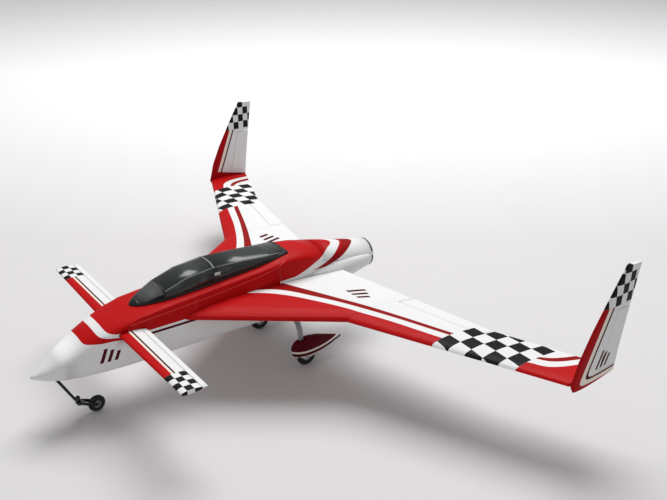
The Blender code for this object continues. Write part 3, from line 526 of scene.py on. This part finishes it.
@dataclass(frozen=True)
class WingletPaint:
    """Winglet trim: a red leading edge, nested stripes round the foot, and a checked top."""

    square: float = 0.0122
    row: float = 0.0153
    checks_from: float = 0.2316
    first_column: float = 0.2813
    plain_from: tuple[float, float] = (0.3301, 0.2775)
    # A darker red than the wing's: painted shade on winglet faces that turn away from the light.
    face_red: Colour = (0.38, 0.003, 0.006)
    edge: tuple[float, float] = (0.2510, 0.1533)
    rake: float = 0.406
    foot_z: float = 0.1240
    corner: float = 0.017
    cream_to: float = 0.0066
    dark_to: float = 0.0098
    middle_x: float = 0.5052
    lean: float = 0.0252
    base: tuple[float, float] = (0.255, 0.1420)
    base_slope: float = 0.23
    mark: Mark = Mark(0.2665, 0.1395, 0.036, 0.030)

    def material(self) -> bpy.types.Material:
        """The painted winglet.

        Returns:
            The material of both winglets and their rudders.
        """
        brush = Brush("winglet_paint", PAINTS.white)
        edge_y, edge_z = self.edge
        behind = (brush.y - edge_y - (brush.z - edge_z) * self.rake) * math.cos(math.atan(self.rake))
        foot = brush.z - self.foot_z
        outer = (brush.out - self.middle_x - (brush.z - 0.12) * self.lean).above(0.0)
        nested = behind.math("SMOOTH_MIN", foot + (outer.flip() * 0.2), self.corner)
        brush.coat(PAINTS.maroon, nested.below(self.dark_to))
        brush.coat(PAINTS.cream, nested.below(self.cream_to))
        # The red leading-edge band, in the darker red that paints in the shade.
        brush.coat(self.face_red, nested.below(0.0))
        base_y, base_z = self.base
        base = brush.z - base_z + (brush.y - base_y) * self.base_slope
        # The foot of the inner face, in the same darker red: painted shade where the wing meets the winglet.
        brush.coat(self.face_red, outer.flip() * base.below(0.0))
        brush.coat(PAINTS.maroon, outer.flip() * base.within(-0.0018, 0.0) * behind.above(0.008))
        top = brush.z.above(self.checks_from)
        brush.checks(top, (brush.y - self.first_column) * (1 / self.square) + 20.0,
                     (brush.z - self.checks_from) * (1 / self.row) + 20.0, True)
        plain_y, plain_z = self.plain_from
        brush.coat(PAINTS.white, brush.y.above(plain_y) * brush.z.above(plain_z))
        along, up = self.mark.share(brush.y - (brush.z - 0.138) * 0.15, brush.z)
        brush.bars(along, up, outer)
        return GlossPaint().over(brush, (1.0, 1.0, 0.12))


@dataclass(frozen=True)
class PantPaint:
    """Wheel pant trim: dark maroon with a cream stripe and a cream foot."""

    body: Colour = (0.085, 0.002, 0.009)
    stripe: Line = ((0.055, 0.032), (0.095, 0.029), (0.160, 0.036))
    cream_top: float = 0.0018
    dark_top: float = -0.0020
    foot_top: float = -0.0080

    def material(self) -> bpy.types.Material:
        """The painted wheel pants."""
        brush = Brush("pant_paint", self.body)
        rise = brush.z - brush.y.along(self.stripe)
        brush.coat(PAINTS.maroon, rise.below(self.dark_top))
        brush.coat(PAINTS.cream, rise.below(self.foot_top))
        brush.coat(PAINTS.cream, rise.within(self.dark_top, self.cream_top))
        return GlossPaint().over(brush)


@dataclass(frozen=True)
class PlainFinish:
    """A finish of one colour with its own grain: metal, plastic, rubber, wood, foam or lead."""

    name: str
    colour: Colour
    flecks: Colour
    rough: float
    grain: float = 400.0
    bump: float = 0.15
    metal: float = 0.0
    coat: float = 0.0
    stretch: Colour = (1.0, 1.0, 1.0)
    slot: str = "dark_plastic"
    shine: float = 0.3

    def material(self) -> bpy.types.Material:
        """The finish as a material, made once.

        Returns:
            The material.
        """
        if self.name in bpy.data.materials:
            return bpy.data.materials[self.name]
        brush = Brush(self.name, self.colour)
        brush.coat(self.flecks, brush.noise(self.grain * 0.5, 4.0, self.stretch).above(0.56, 0.16))
        return brush.finish(self.rough, self.bump, self.grain, self.coat, self.metal, self.stretch,
                            shine=self.shine)


DARK_FRAME = PlainFinish("dark_frame", (0.011, 0.013, 0.013), (0.015, 0.017, 0.017), 0.40, slot="grey_frame")
STRIP_GREY = PlainFinish("strip_grey", (0.13, 0.135, 0.135), (0.17, 0.175, 0.17), 0.45, slot="grey_frame")
SMOKED = PlainFinish("smoked_sheet", (0.012, 0.014, 0.014), (0.015, 0.018, 0.018), 0.50, 60.0, 0.02,
                     slot="smoked_sheet", shine=0.09)
LATCH_GREY = PlainFinish("latch_grey", (0.36, 0.38, 0.38), (0.42, 0.44, 0.44), 0.45, slot="latch_grey")
GREY_METAL = PlainFinish("grey_metal", (0.30, 0.31, 0.32), (0.38, 0.39, 0.40), 0.38, 700.0, 0.15, 0.85,
                         slot="grey_metal")
DARK_METAL = PlainFinish("dark_metal", (0.050, 0.054, 0.054), (0.075, 0.08, 0.08), 0.42, 700.0, 0.15, 0.6,
                         slot="dark_metal")
WIRE = PlainFinish("music_wire", (0.50, 0.51, 0.52), (0.60, 0.61, 0.62), 0.28, 900.0, 0.08, 1.0,
                   stretch=(0.1, 1.0, 1.0), slot="steel_wire")
LAMINATE = PlainFinish("gear_laminate", (0.26, 0.27, 0.28), (0.31, 0.32, 0.33), 0.5, 1400.0, 0.20,
                       slot="gear_laminate")
RUBBER = PlainFinish("tyre_rubber", (0.014, 0.014, 0.015), (0.024, 0.023, 0.022), 0.72, 1600.0, 0.35,
                     slot="black_rubber")
BLACK_RING = PlainFinish("tail_black", (0.016, 0.016, 0.017), (0.024, 0.024, 0.025), 0.45,
                         slot="dark_plastic")
PLY = PlainFinish("birch_ply", (0.50, 0.36, 0.20), (0.42, 0.28, 0.15), 0.62, 260.0, 0.35,
                  stretch=(1.0, 0.06, 1.0), slot="ply")
LEAD = PlainFinish("cast_lead", (0.16, 0.16, 0.17), (0.22, 0.22, 0.23), 0.6, 300.0, 0.5, 0.7, slot="lead")
FOAM = PlainFinish("seat_foam", (0.030, 0.030, 0.034), (0.045, 0.045, 0.050), 0.9, 1800.0, 0.6,
                   slot="seat_foam")
DIAL = PlainFinish("dial_face", (0.55, 0.56, 0.55), (0.48, 0.49, 0.48), 0.4, slot="grey_metal")


class Bench:
    """The hand tools: what copies, selects, cuts and finishes meshes."""

    @staticmethod
    def clear() -> None:
        """Deselects everything."""
        bpy.ops.object.select_all(action="DESELECT")

    @classmethod
    def only(cls, piece: bpy.types.Object) -> None:
        """Makes one piece the only one selected, and active."""
        cls.clear()
        piece.select_set(True)
        bpy.context.view_layer.objects.active = piece

    @classmethod
    def edit(cls, piece: bpy.types.Object, mode: str = "FACE") -> None:
        """Opens a piece in edit mode with nothing selected.

        Args:
            piece: The piece.
            mode: What is then selected: VERT, EDGE or FACE.
        """
        cls.only(piece)
        bpy.ops.object.mode_set(mode="EDIT")
        bpy.ops.mesh.select_mode(type=mode)
        bpy.ops.mesh.select_all(action="DESELECT")
        bpy.ops.object.mode_set(mode="OBJECT")

    @classmethod
    def pick(cls, piece: bpy.types.Object, test: Callable[[bpy.types.MeshPolygon], bool]) -> None:
        """Selects the faces that a test takes, and opens edit mode.

        Args:
            piece: The piece.
            test: The test of a face.
        """
        cls.edit(piece)
        for face in piece.data.polygons:
            face.select = bool(test(face))
        bpy.ops.object.mode_set(mode="EDIT")

    @classmethod
    def settle(cls, piece: bpy.types.Object) -> None:
        """Leaves edit mode and puts the piece's place into its mesh."""
        if bpy.context.mode != "OBJECT":
            bpy.ops.object.mode_set(mode="OBJECT")
        cls.only(piece)
        bpy.ops.object.transform_apply(location=True, rotation=True, scale=True)

    @classmethod
    def smooth(cls, piece: bpy.types.Object, degrees: float = 32.0) -> None:
        """Shades a piece smooth where its faces meet at less than an angle."""
        cls.only(piece)
        bpy.ops.object.shade_smooth_by_angle(angle=math.radians(degrees))

    @classmethod
    def apply(cls, piece: bpy.types.Object, kind: str, **settings: object) -> None:
        """Adds a modifier and applies it.

        Args:
            piece: The piece.
            kind: The modifier's type.
            settings: Its settings.
        """
        cls.only(piece)
        modifier = piece.modifiers.new(kind.lower(), kind)
        for name, value in settings.items():
            setattr(modifier, name, value)
        bpy.ops.object.modifier_apply(modifier=modifier.name)

    @classmethod
    def skin(cls, nodes: dict[str, bpy.types.Object], node: str, degrees: float = 32.0,
             name: str | None = None, sheeted: bool = False) -> bpy.types.Object:
        """A clean, joined copy of a frame node, shaded smooth.

        Args:
            nodes: The frame's nodes.
            node: The node to copy.
            degrees: The angle over which an edge stays sharp.
            name: The copy's name, or none for the node's with _skin.
            sheeted: Whether broad faces set the shading, as on a sheeted wing.

        Returns:
            The copy.
        """
        source = nodes[node]
        piece = bpy.data.objects.new(name or f"{node}_skin", source.data.copy())
        bpy.context.collection.objects.link(piece)
        piece.data.materials.clear()
        cls.edit(piece, "VERT")
        bpy.ops.object.mode_set(mode="EDIT")
        bpy.ops.mesh.select_all(action="SELECT")
        bpy.ops.mesh.remove_doubles(threshold=0.00001)
        if sheeted:
            bpy.ops.mesh.dissolve_limited(angle_limit=math.radians(1.2))
        bpy.ops.object.mode_set(mode="OBJECT")
        cls.smooth(piece, degrees)
        if sheeted:
            cls.apply(piece, "WEIGHTED_NORMAL", mode="FACE_AREA", weight=90, keep_sharp=True)
        return piece

    @staticmethod
    def dress(piece: bpy.types.Object, material: bpy.types.Material, body: str,
              slot: str | None = None) -> None:
        """Gives a piece its material and the body that it rides on.

        Args:
            piece: The piece.
            material: The material.
            body: The body's name.
            slot: The record's material slot; not used.
        """
        piece.data.materials.clear()
        piece.data.materials.append(material)
        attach(piece, body)
        LOG.info("%s: %d faces on %s", piece.name, len(piece.data.polygons), body)


@dataclass
class Assembly:
    """A group of pieces with the frame that they stand on."""

    frame: dict
    bench: type[Bench] = field(default=Bench, repr=False)

    @property
    def nodes(self) -> dict[str, bpy.types.Object]:
        """The frame's nodes by name."""
        return self.frame["nodes"]

    def body(self, node: str) -> str:
        """The body that a node rides on."""
        return next(b for b, held in self.frame["record"]["behaviour"]["bodies"].items() if node in held)

    def cover(self, node: str, material: bpy.types.Material, slot: str | None = None,
              degrees: float = 32.0, sheeted: bool = False) -> bpy.types.Object:
        """Shows a smooth copy of a node in its place.

        Args:
            node: The node.
            material: The copy's material.
            slot: The record's material slot; not used.
            degrees: The angle over which an edge stays sharp.
            sheeted: Whether broad faces set the shading.

        Returns:
            The copy.
        """
        piece = self.bench.skin(self.nodes, node, degrees, None, sheeted)
        self.bench.dress(piece, material, self.body(node), slot)
        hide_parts(node)
        return piece

    def repaint(self, finish: PlainFinish, *nodes: str) -> None:
        """Gives frame nodes that are shown as they are a better material.

        Args:
            finish: The finish.
            nodes: The nodes.
        """
        for node in nodes:
            self.nodes[node].material_slots[0].material = finish.material()


@dataclass
class Fuselage(Assembly):
    """The hull: shell, nose block, cowls, cheeks and tail ring, with what they enclose."""

    reach: float = 0.0006

    def build(self) -> None:
        """Makes and dresses the hull."""
        paint = HullPaint().material()
        self.hull(paint)
        for node in ("cowl_upper", "cowl_lower", "cheek_port", "cheek_starboard"):
            self.cover(node, paint, "white_paint", 40.0)
        self.cover("tail_ring", self.ring_paint(), "dark_plastic", 40.0)
        self.cover("tail_disc", BLACK_RING.material(), "dark_plastic", 40.0)
        self.repaint(PLY, "nose_former", "firewall", "gear_block")
        self.repaint(LEAD, "nose_ballast")
        self.repaint(WIRE, "joiner_front", "joiner_rear", "outer_joiner_port", "outer_joiner_starboard")

    def hull(self, paint: bpy.types.Material) -> None:
        """The shell and nose block as one skin, with the joint between them filled and rubbed down.

        Args:
            paint: The hull's paint.
        """
        joint = (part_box("fuselage_shell")[0].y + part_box("nose_block")[1].y) / 2

        def at_joint(face: bpy.types.MeshPolygon) -> bool:
            """Whether a face closes the shell or the nose block at their joint."""
            return abs(face.normal.y) > 0.95 and abs(face.center.y - joint) < self.reach

        shell = self.bench.skin(self.nodes, "fuselage_shell", 40.0, "hull_skin")
        nose = self.bench.skin(self.nodes, "nose_block", 40.0, "nose_skin")
        for piece in (shell, nose):
            self.bench.pick(piece, at_joint)
            bpy.ops.mesh.delete(type="FACE")
            bpy.ops.object.mode_set(mode="OBJECT")
        self.bench.only(shell)
        nose.select_set(True)
        bpy.ops.object.join()
        self.bench.edit(shell, "VERT")
        for vertex in shell.data.vertices:
            vertex.select = abs(vertex.co.y - joint) < self.reach
        bpy.ops.object.mode_set(mode="EDIT")
        bpy.ops.mesh.remove_doubles(threshold=0.0007)
        bpy.ops.mesh.select_all(action="SELECT")
        bpy.ops.mesh.fill_holes(sides=0)
        bpy.ops.mesh.select_all(action="SELECT")
        bpy.ops.mesh.normals_make_consistent(inside=False)
        bpy.ops.object.mode_set(mode="OBJECT")
        self.bench.smooth(shell, 40.0)
        self.bench.dress(shell, paint, "airframe", "white_paint")
        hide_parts("fuselage_shell", "nose_block")

    def ring_paint(self) -> bpy.types.Material:
        """The tail ring's paint: black above and below, white where the cheeks run out over it."""
        brush = Brush("ring_paint", BLACK_RING.colour)
        band = brush.z.within(0.1345, 0.1415) * brush.out.above(0.018)
        brush.coat(PAINTS.white, band)
        brush.coat(PAINTS.white, brush.y.below(0.2640))
        return brush.finish(0.42)


@dataclass
class Cockpit(Assembly):
    """The seats, the tray and the instrument panel under the canopy."""

    dial_radius: float = 0.0034
    dial_rows: tuple[tuple[float, int], ...] = ((0.152, 3), (0.142, 2))
    dial_pitch: float = 0.012

    def build(self) -> None:
        """Makes and dresses the cockpit."""
        self.repaint(DARK_FRAME, "cockpit_tray", "instrument_panel")
        for node in ("front_seat", "rear_seat"):
            seat = self.bench.skin(self.nodes, node, 60.0)
            self.bench.apply(seat, "BEVEL", width=0.0014, segments=3, limit_method="ANGLE")
            self.bench.smooth(seat, 60.0)
            self.bench.dress(seat, FOAM.material(), "airframe", "seat_foam")
            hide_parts(node)
        places = [((place - (count - 1) / 2) * self.dial_pitch, height)
                  for height, count in self.dial_rows for place in range(count)]
        for number, place in enumerate(places):
            self.dial(f"panel_dial_{number + 1}", place)

    def dial(self, name: str, place: tuple[float, float]) -> None:
        """One round dial with a raised rim on the pilot's side of the panel.

        Args:
            name: The piece's name.
            place: Its X and Z.
        """
        self.bench.clear()
        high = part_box("instrument_panel")[1].y
        bpy.ops.mesh.primitive_cylinder_add(vertices=24, radius=self.dial_radius, depth=0.0012,
                                            location=(place[0], high + 0.0004, place[1]),
                                            rotation=(math.pi / 2, 0, 0))
        piece = bpy.context.object
        piece.name = name
        self.bench.settle(piece)
        self.bench.pick(piece, lambda face: face.normal.y > 0.9)
        bpy.ops.mesh.inset(thickness=0.0006)
        bpy.ops.transform.translate(value=(0, -0.0005, 0))
        self.bench.settle(piece)
        self.bench.smooth(piece, 30.0)
        self.bench.dress(piece, DIAL.material(), "airframe", "grey_metal")


@dataclass
class Canopy(Assembly):
    """The hinged canopy: frame, smoked panes, pale strips over its joints, hinges and latch."""

    shoulder_x: tuple[float, float] = (0.0233, 0.0250)
    bow: tuple[float, float] = (-0.0505, -0.0455)
    rise: float = 0.00025
    sill_z: float = 0.176
    bow_foot_z: float = 0.185
    bow_half: float = 0.0245
    bow_edge: float = 0.0008
    core_z: float = 0.160
    strip_sources: dict[str, str] = field(default_factory=lambda: {
        "front": "canopy_pane_front", "rear": "canopy_pane_rear", "bow": "canopy_frame"})

    def build(self) -> None:
        """Makes and dresses the canopy."""
        self.cover("canopy_frame", DARK_FRAME.material(), "grey_frame", 40.0)
        self.cover("windscreen_pane", self.screen_sheet(), "smoked_sheet", 50.0)
        for node in ("canopy_pane_front", "canopy_pane_rear"):
            self.cover(node, SMOKED.material(), "smoked_sheet", 50.0)
        front, back = self.bow[0] + self.bow_edge, self.bow[1] - self.bow_edge
        self.strip("canopy_bow_strip", "canopy_frame",
                   [((0, front, 0), (0, -1, 0)), ((0, back, 0), (0, 1, 0)),
                    ((self.bow_half, 0, 0), (1, 0, 0)), ((-self.bow_half, 0, 0), (-1, 0, 0)),
                    ((0, 0, self.bow_foot_z), (0, 0, -1))])
        for side in Side:
            for tag, node in self.strip_sources.items():
                low, high = self.shoulder_x
                cuts = [((side.value * low, 0, 0), (-side.value, 0, 0)),
                        ((side.value * high, 0, 0), (side.value, 0, 0)),
                        ((0, 0, self.sill_z), (0, 0, -1))]
                if tag == "bow":
                    cuts += [((0, self.bow[0], 0), (0, -1, 0)), ((0, self.bow[1], 0), (0, 1, 0))]
                self.strip(f"canopy_shoulder_{tag}_{side.tag}", node, cuts)
        self.cover("canopy_latch", LATCH_GREY.material(), "latch_grey", 30.0)
        for node in ("canopy_hinge_front", "canopy_hinge_rear"):
            self.cover(node, GREY_METAL.material(), "grey_metal", 30.0)
        self.repaint(WIRE, "canopy_hinge_pin")

    def screen_sheet(self) -> bpy.types.Material:
        """The windscreen's sheet: dark down the flanks, with a painted sky reflection in lighter grey over
        its upper part.
        """
        brush = Brush("windscreen_sheet", SMOKED.colour)
        line = brush.y.along(((-0.172, 0.1655), (-0.160, 0.1685), (-0.1345, 0.1760), (-0.13, 0.1765)))
        # Painted reflection: the smoked sheet is lighter grey above this line, where the sky would show in
        # it.
        brush.coat((0.070, 0.073, 0.073), brush.z.above(line, 0.0005))
        return brush.finish(0.50, 0.02, 60.0, shine=0.09)

    def strip(self, name: str, node: str, cuts: list[tuple[tuple, tuple]]) -> None:
        """A thin raised strip that follows the canopy's outer face.

        Args:
            name: The piece's name.
            node: The node whose outer face it follows.
            cuts: The planes that bound it, as a point and the normal of the side cut off.
        """
        piece = self.bench.skin(self.nodes, node, 60.0, name)
        core = Vector((0.0, 0.0, self.core_z))

        def inward(face: bpy.types.MeshPolygon) -> bool:
            """Whether a face looks in, or along the canopy."""
            away = Vector((face.center.x, 0.0, face.center.z - core.z)).normalized()
            return face.normal.dot(away) < 0.45

        self.bench.pick(piece, inward)
        bpy.ops.mesh.delete(type="FACE")
        for point, normal in cuts:
            bpy.ops.mesh.select_all(action="SELECT")
            bpy.ops.mesh.bisect(plane_co=point, plane_no=normal, clear_outer=True)
        bpy.ops.mesh.select_all(action="SELECT")
        bpy.ops.mesh.delete_loose()
        bpy.ops.object.mode_set(mode="OBJECT")
        if not piece.data.polygons:
            bpy.data.objects.remove(piece)
            LOG.warning("%s is empty", name)
            return
        self.bench.apply(piece, "SOLIDIFY", thickness=self.rise, offset=1.0)
        self.bench.smooth(piece, 40.0)
        self.bench.dress(piece, STRIP_GREY.material(), "canopy", "grey_frame")


@dataclass
class Surfaces(Assembly):
    """The canard, wings and winglets with their moving surfaces."""

    fairing_x: tuple[float, float] = (0.0405, 0.0492)
    fairing_y: tuple[float, float] = (-0.1834, -0.1737)
    fairing_z: float = 0.1389

    def build(self) -> None:
        """Makes and dresses the lifting surfaces."""
        canard = CanardPaint().material()
        winglet = WingletPaint().material()
        for node in ("canard", "elevator_port", "elevator_starboard"):
            self.cover(node, canard, "white_paint", 34.0, True)
        wing = WingPaint().material()
        for side in Side:
            for stem in ("strake", "wing", "aileron"):
                self.cover(f"{stem}_{side.tag}", wing, "white_paint", 34.0, True)
            for stem in ("winglet", "rudder"):
                self.cover(f"{stem}_{side.tag}", winglet, "white_paint", 34.0, True)
            self.repaint(WIRE, f"aileron_wire_{side.tag}")
            self.root_fairing(side, canard)
        self.repaint(WIRE, "elevator_rod")

    def root_fairing(self, side: Side, paint: bpy.types.Material) -> None:
        """The small block that carries the canard's trailing edge in to the hull, over the torque rod.

        Args:
            side: The side that it is on.
            paint: The canard's paint.
        """
        inner, outer = self.fairing_x
        front, back = self.fairing_y
        self.bench.clear()
        middle = (side.value * (inner + outer) / 2, (front + back) / 2, self.fairing_z)
        bpy.ops.mesh.primitive_cube_add(size=1.0, location=middle)
        piece = bpy.context.object
        piece.name = f"canard_root_fairing_{side.tag}"
        piece.scale = (outer - inner, back - front, 0.0034)
        self.bench.settle(piece)
        self.bench.pick(piece, lambda face: face.normal.y > 0.9)
        thin_end = (middle[0], back, middle[2] - 0.0009)
        bpy.ops.transform.resize(value=(1.0, 1.0, 0.28), center_override=thin_end)
        self.bench.settle(piece)
        self.bench.apply(piece, "BEVEL", width=0.0004, segments=2)
        self.bench.smooth(piece, 40.0)
        self.bench.dress(piece, paint, "airframe", "white_paint")


@dataclass
class Wheel(Assembly):
    """One wheel: a grooved tyre and a hub with bolts, on its own body."""

    name: str = "nose"
    suffix: str = ""
    wheel_body: str = "nose_wheel"
    centre: tuple[float, float, float] = (0.0, -0.2485, 0.0134)
    radius: float = 0.0134
    half_width: float = 0.0042
    bolts: int = 5

    def build(self) -> None:
        """Makes and dresses the wheel."""
        self.tyre()
        self.cover(f"{self.name}_hub{self.suffix}", GREY_METAL.material(), "grey_metal", 30.0)
        for number in range(self.bolts):
            for face in (1, -1):
                self.bolt(number, face)

    def tyre(self) -> None:
        """The tyre, with shallow grooves across its crown."""
        self.bench.clear()
        bpy.ops.mesh.primitive_torus_add(major_radius=self.radius - self.half_width,
                                         minor_radius=self.half_width, major_segments=60, minor_segments=20,
                                         location=self.centre, rotation=(0, math.pi / 2, 0))
        piece = bpy.context.object
        piece.name = f"{self.name}_tyre{self.suffix}_treaded"
        self.bench.settle(piece)
        middle = Vector(self.centre)

        def groove(face: bpy.types.MeshPolygon) -> bool:
            """Whether a face lies in one of the crown's grooves."""
            away = face.center - middle
            around = math.atan2(away.z, away.y) / math.tau * 60
            crown = math.hypot(away.y, away.z) > self.radius - self.half_width * 0.35
            return crown and int(around + 60.0) % 3 == 0

        self.bench.pick(piece, groove)
        bpy.ops.mesh.extrude_region_shrink_fatten(TRANSFORM_OT_shrink_fatten={"value": -0.0004})
        self.bench.settle(piece)
        self.bench.smooth(piece, 40.0)
        self.bench.dress(piece, RUBBER.material(), self.wheel_body, "black_rubber")
        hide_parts(f"{self.name}_tyre{self.suffix}")

    def bolt(self, number: int, face: int) -> None:
        """One six-sided bolt head on the hub.

        Args:
            number: Its place round the hub.
            face: The side of the hub, as the sign of X.
        """
        turn = math.tau * number / self.bolts
        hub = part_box(f"{self.name}_hub{self.suffix}")
        reach = (hub[1].y - hub[0].y) / 2 * 0.52
        edge = hub[1].x if face > 0 else hub[0].x
        self.bench.clear()
        bpy.ops.mesh.primitive_cylinder_add(
            vertices=6, radius=self.radius * 0.045, depth=0.0008,
            location=(edge - face * 0.0002, self.centre[1] + reach * math.cos(turn),
                      self.centre[2] + reach * math.sin(turn)),
            rotation=(0, math.pi / 2, 0))
        piece = bpy.context.object
        piece.name = f"{self.name}_bolt{self.suffix}_{'outer' if face > 0 else 'inner'}_{number + 1}"
        self.bench.settle(piece)
        self.bench.apply(piece, "BEVEL", width=0.00012, segments=2)
        self.bench.dress(piece, DARK_METAL.material(), self.wheel_body, "dark_metal")


@dataclass
class Undercarriage(Assembly):
    """The nose leg with its caster, the sprung bow and the wheel pants."""

    def build(self) -> None:
        """Makes and dresses the undercarriage."""
        self.cover("nose_leg", DARK_METAL.material(), "dark_metal", 40.0)
        self.cover("caster_fork", DARK_METAL.material(), "dark_metal", 40.0)
        self.repaint(DARK_METAL, "nose_gear_bracket")
        self.repaint(WIRE, "nose_gear_pin", "nose_axle", "main_axle_port", "main_axle_starboard")
        self.cover("gear_bow", LAMINATE.material(), "gear_laminate", 40.0)
        paint = PantPaint().material()
        for side in Side:
            self.cover(f"wheel_pant_{side.tag}", paint, "maroon_paint", 40.0)
            Wheel(self.frame, name="main", suffix=f"_{side.tag}", wheel_body=f"main_wheel_{side.tag}",
                  centre=(side.value * 0.0745, 0.0887, 0.018), radius=0.018, half_width=0.0056).build()
        Wheel(self.frame).build()


@dataclass
class Studio:
    """The floor, the lights and the camera."""

    eye: tuple[float, float, float] = (1.1357, -0.6178, 0.7842)
    aim: tuple[float, float, float] = (-0.095, 0.267, 0.1)
    lens: float = 47.65
    near_paper: Colour = (0.66, 0.645, 0.65)
    middle_paper: Colour = (0.64, 0.627, 0.634)
    far_paper: Colour = (0.98, 0.98, 0.98)
    air: float = 0.36

    def build(self) -> None:
        """Sets up the studio."""
        self.camera()
        self.floor()
        self.lamp("sky_panel", (-0.9, 1.1, 3.4), (0.0, 0.0, 0.0), 2.4, 132.0)
        self.lamp("fill_panel", (2.6, -2.4, 2.4), (0.0, 0.0, 0.1), 3.0, 10.0)
        world = bpy.data.worlds.new("studio_air")
        world.use_nodes = True
        world.node_tree.nodes["Background"].inputs[0].default_value = (1.0, 1.0, 1.0, 1.0)
        world.node_tree.nodes["Background"].inputs[1].default_value = self.air
        bpy.context.scene.world = world
        bpy.context.scene.view_settings.view_transform = "Standard"

    def camera(self) -> None:
        """Adds the camera."""
        bpy.ops.object.camera_add(location=self.eye)
        camera = bpy.context.object
        camera.name = "studio_camera"
        camera.data.lens, camera.data.sensor_width = self.lens, 36.0
        camera.rotation_euler = (Vector(self.aim) - Vector(self.eye)).to_track_quat("-Z", "Y").to_euler()
        bpy.context.scene.camera = camera

    def floor(self) -> None:
        """Adds a broad floor of plain paper, with painted light that makes it paler with distance."""
        Bench.clear()
        bpy.ops.mesh.primitive_plane_add(size=40.0, location=(0, 0, 0))
        floor = bpy.context.object
        floor.name = "studio_floor"
        Bench.settle(floor)
        brush = Brush("floor_paper", self.near_paper)
        # Painted light: the paper is coloured paler the further it lies from the camera.
        away = brush.x * -0.812 + brush.y * 0.584
        brush.coat(self.middle_paper, ((away + 0.7) * 0.7).within(0.5, 99.0, 1.0))
        brush.coat(self.far_paper, ((away - 0.5) * 0.62).within(0.5, 99.0, 1.0))
        floor.data.materials.append(brush.finish(0.75, 0.02, 120.0, mottle=0.01, spread=0.03))

    def lamp(self, name: str, place: tuple[float, float, float], aim: tuple[float, float, float],
             size: float, power: float) -> None:
        """Adds a soft square lamp.

        Args:
            name: Its name.
            place: Where it hangs.
            aim: What it points at.
            size: Its side.
            power: Its power in watts.
        """
        bpy.ops.object.light_add(type="AREA", location=place)
        lamp = bpy.context.object
        lamp.name = name
        lamp.data.size, lamp.data.energy = size, power
        lamp.rotation_euler = (Vector(aim) - Vector(place)).to_track_quat("-Z", "Y").to_euler()


def clear_start() -> None:
    """Removes what a new file starts with."""
    for thing in list(bpy.data.objects):
        bpy.data.objects.remove(thing)


def main() -> None:
    """Builds the glider's looks in order."""
    logging.basicConfig(level=logging.INFO, format="%(name)s %(message)s")
    clear_start()
    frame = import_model()
    Studio().build()
    for part in (Fuselage, Cockpit, Canopy, Surfaces, Undercarriage):
        LOG.info("building %s", part.__name__)
        part(frame).build()
    Bench.clear()


if __name__ == "__main__":
    main()
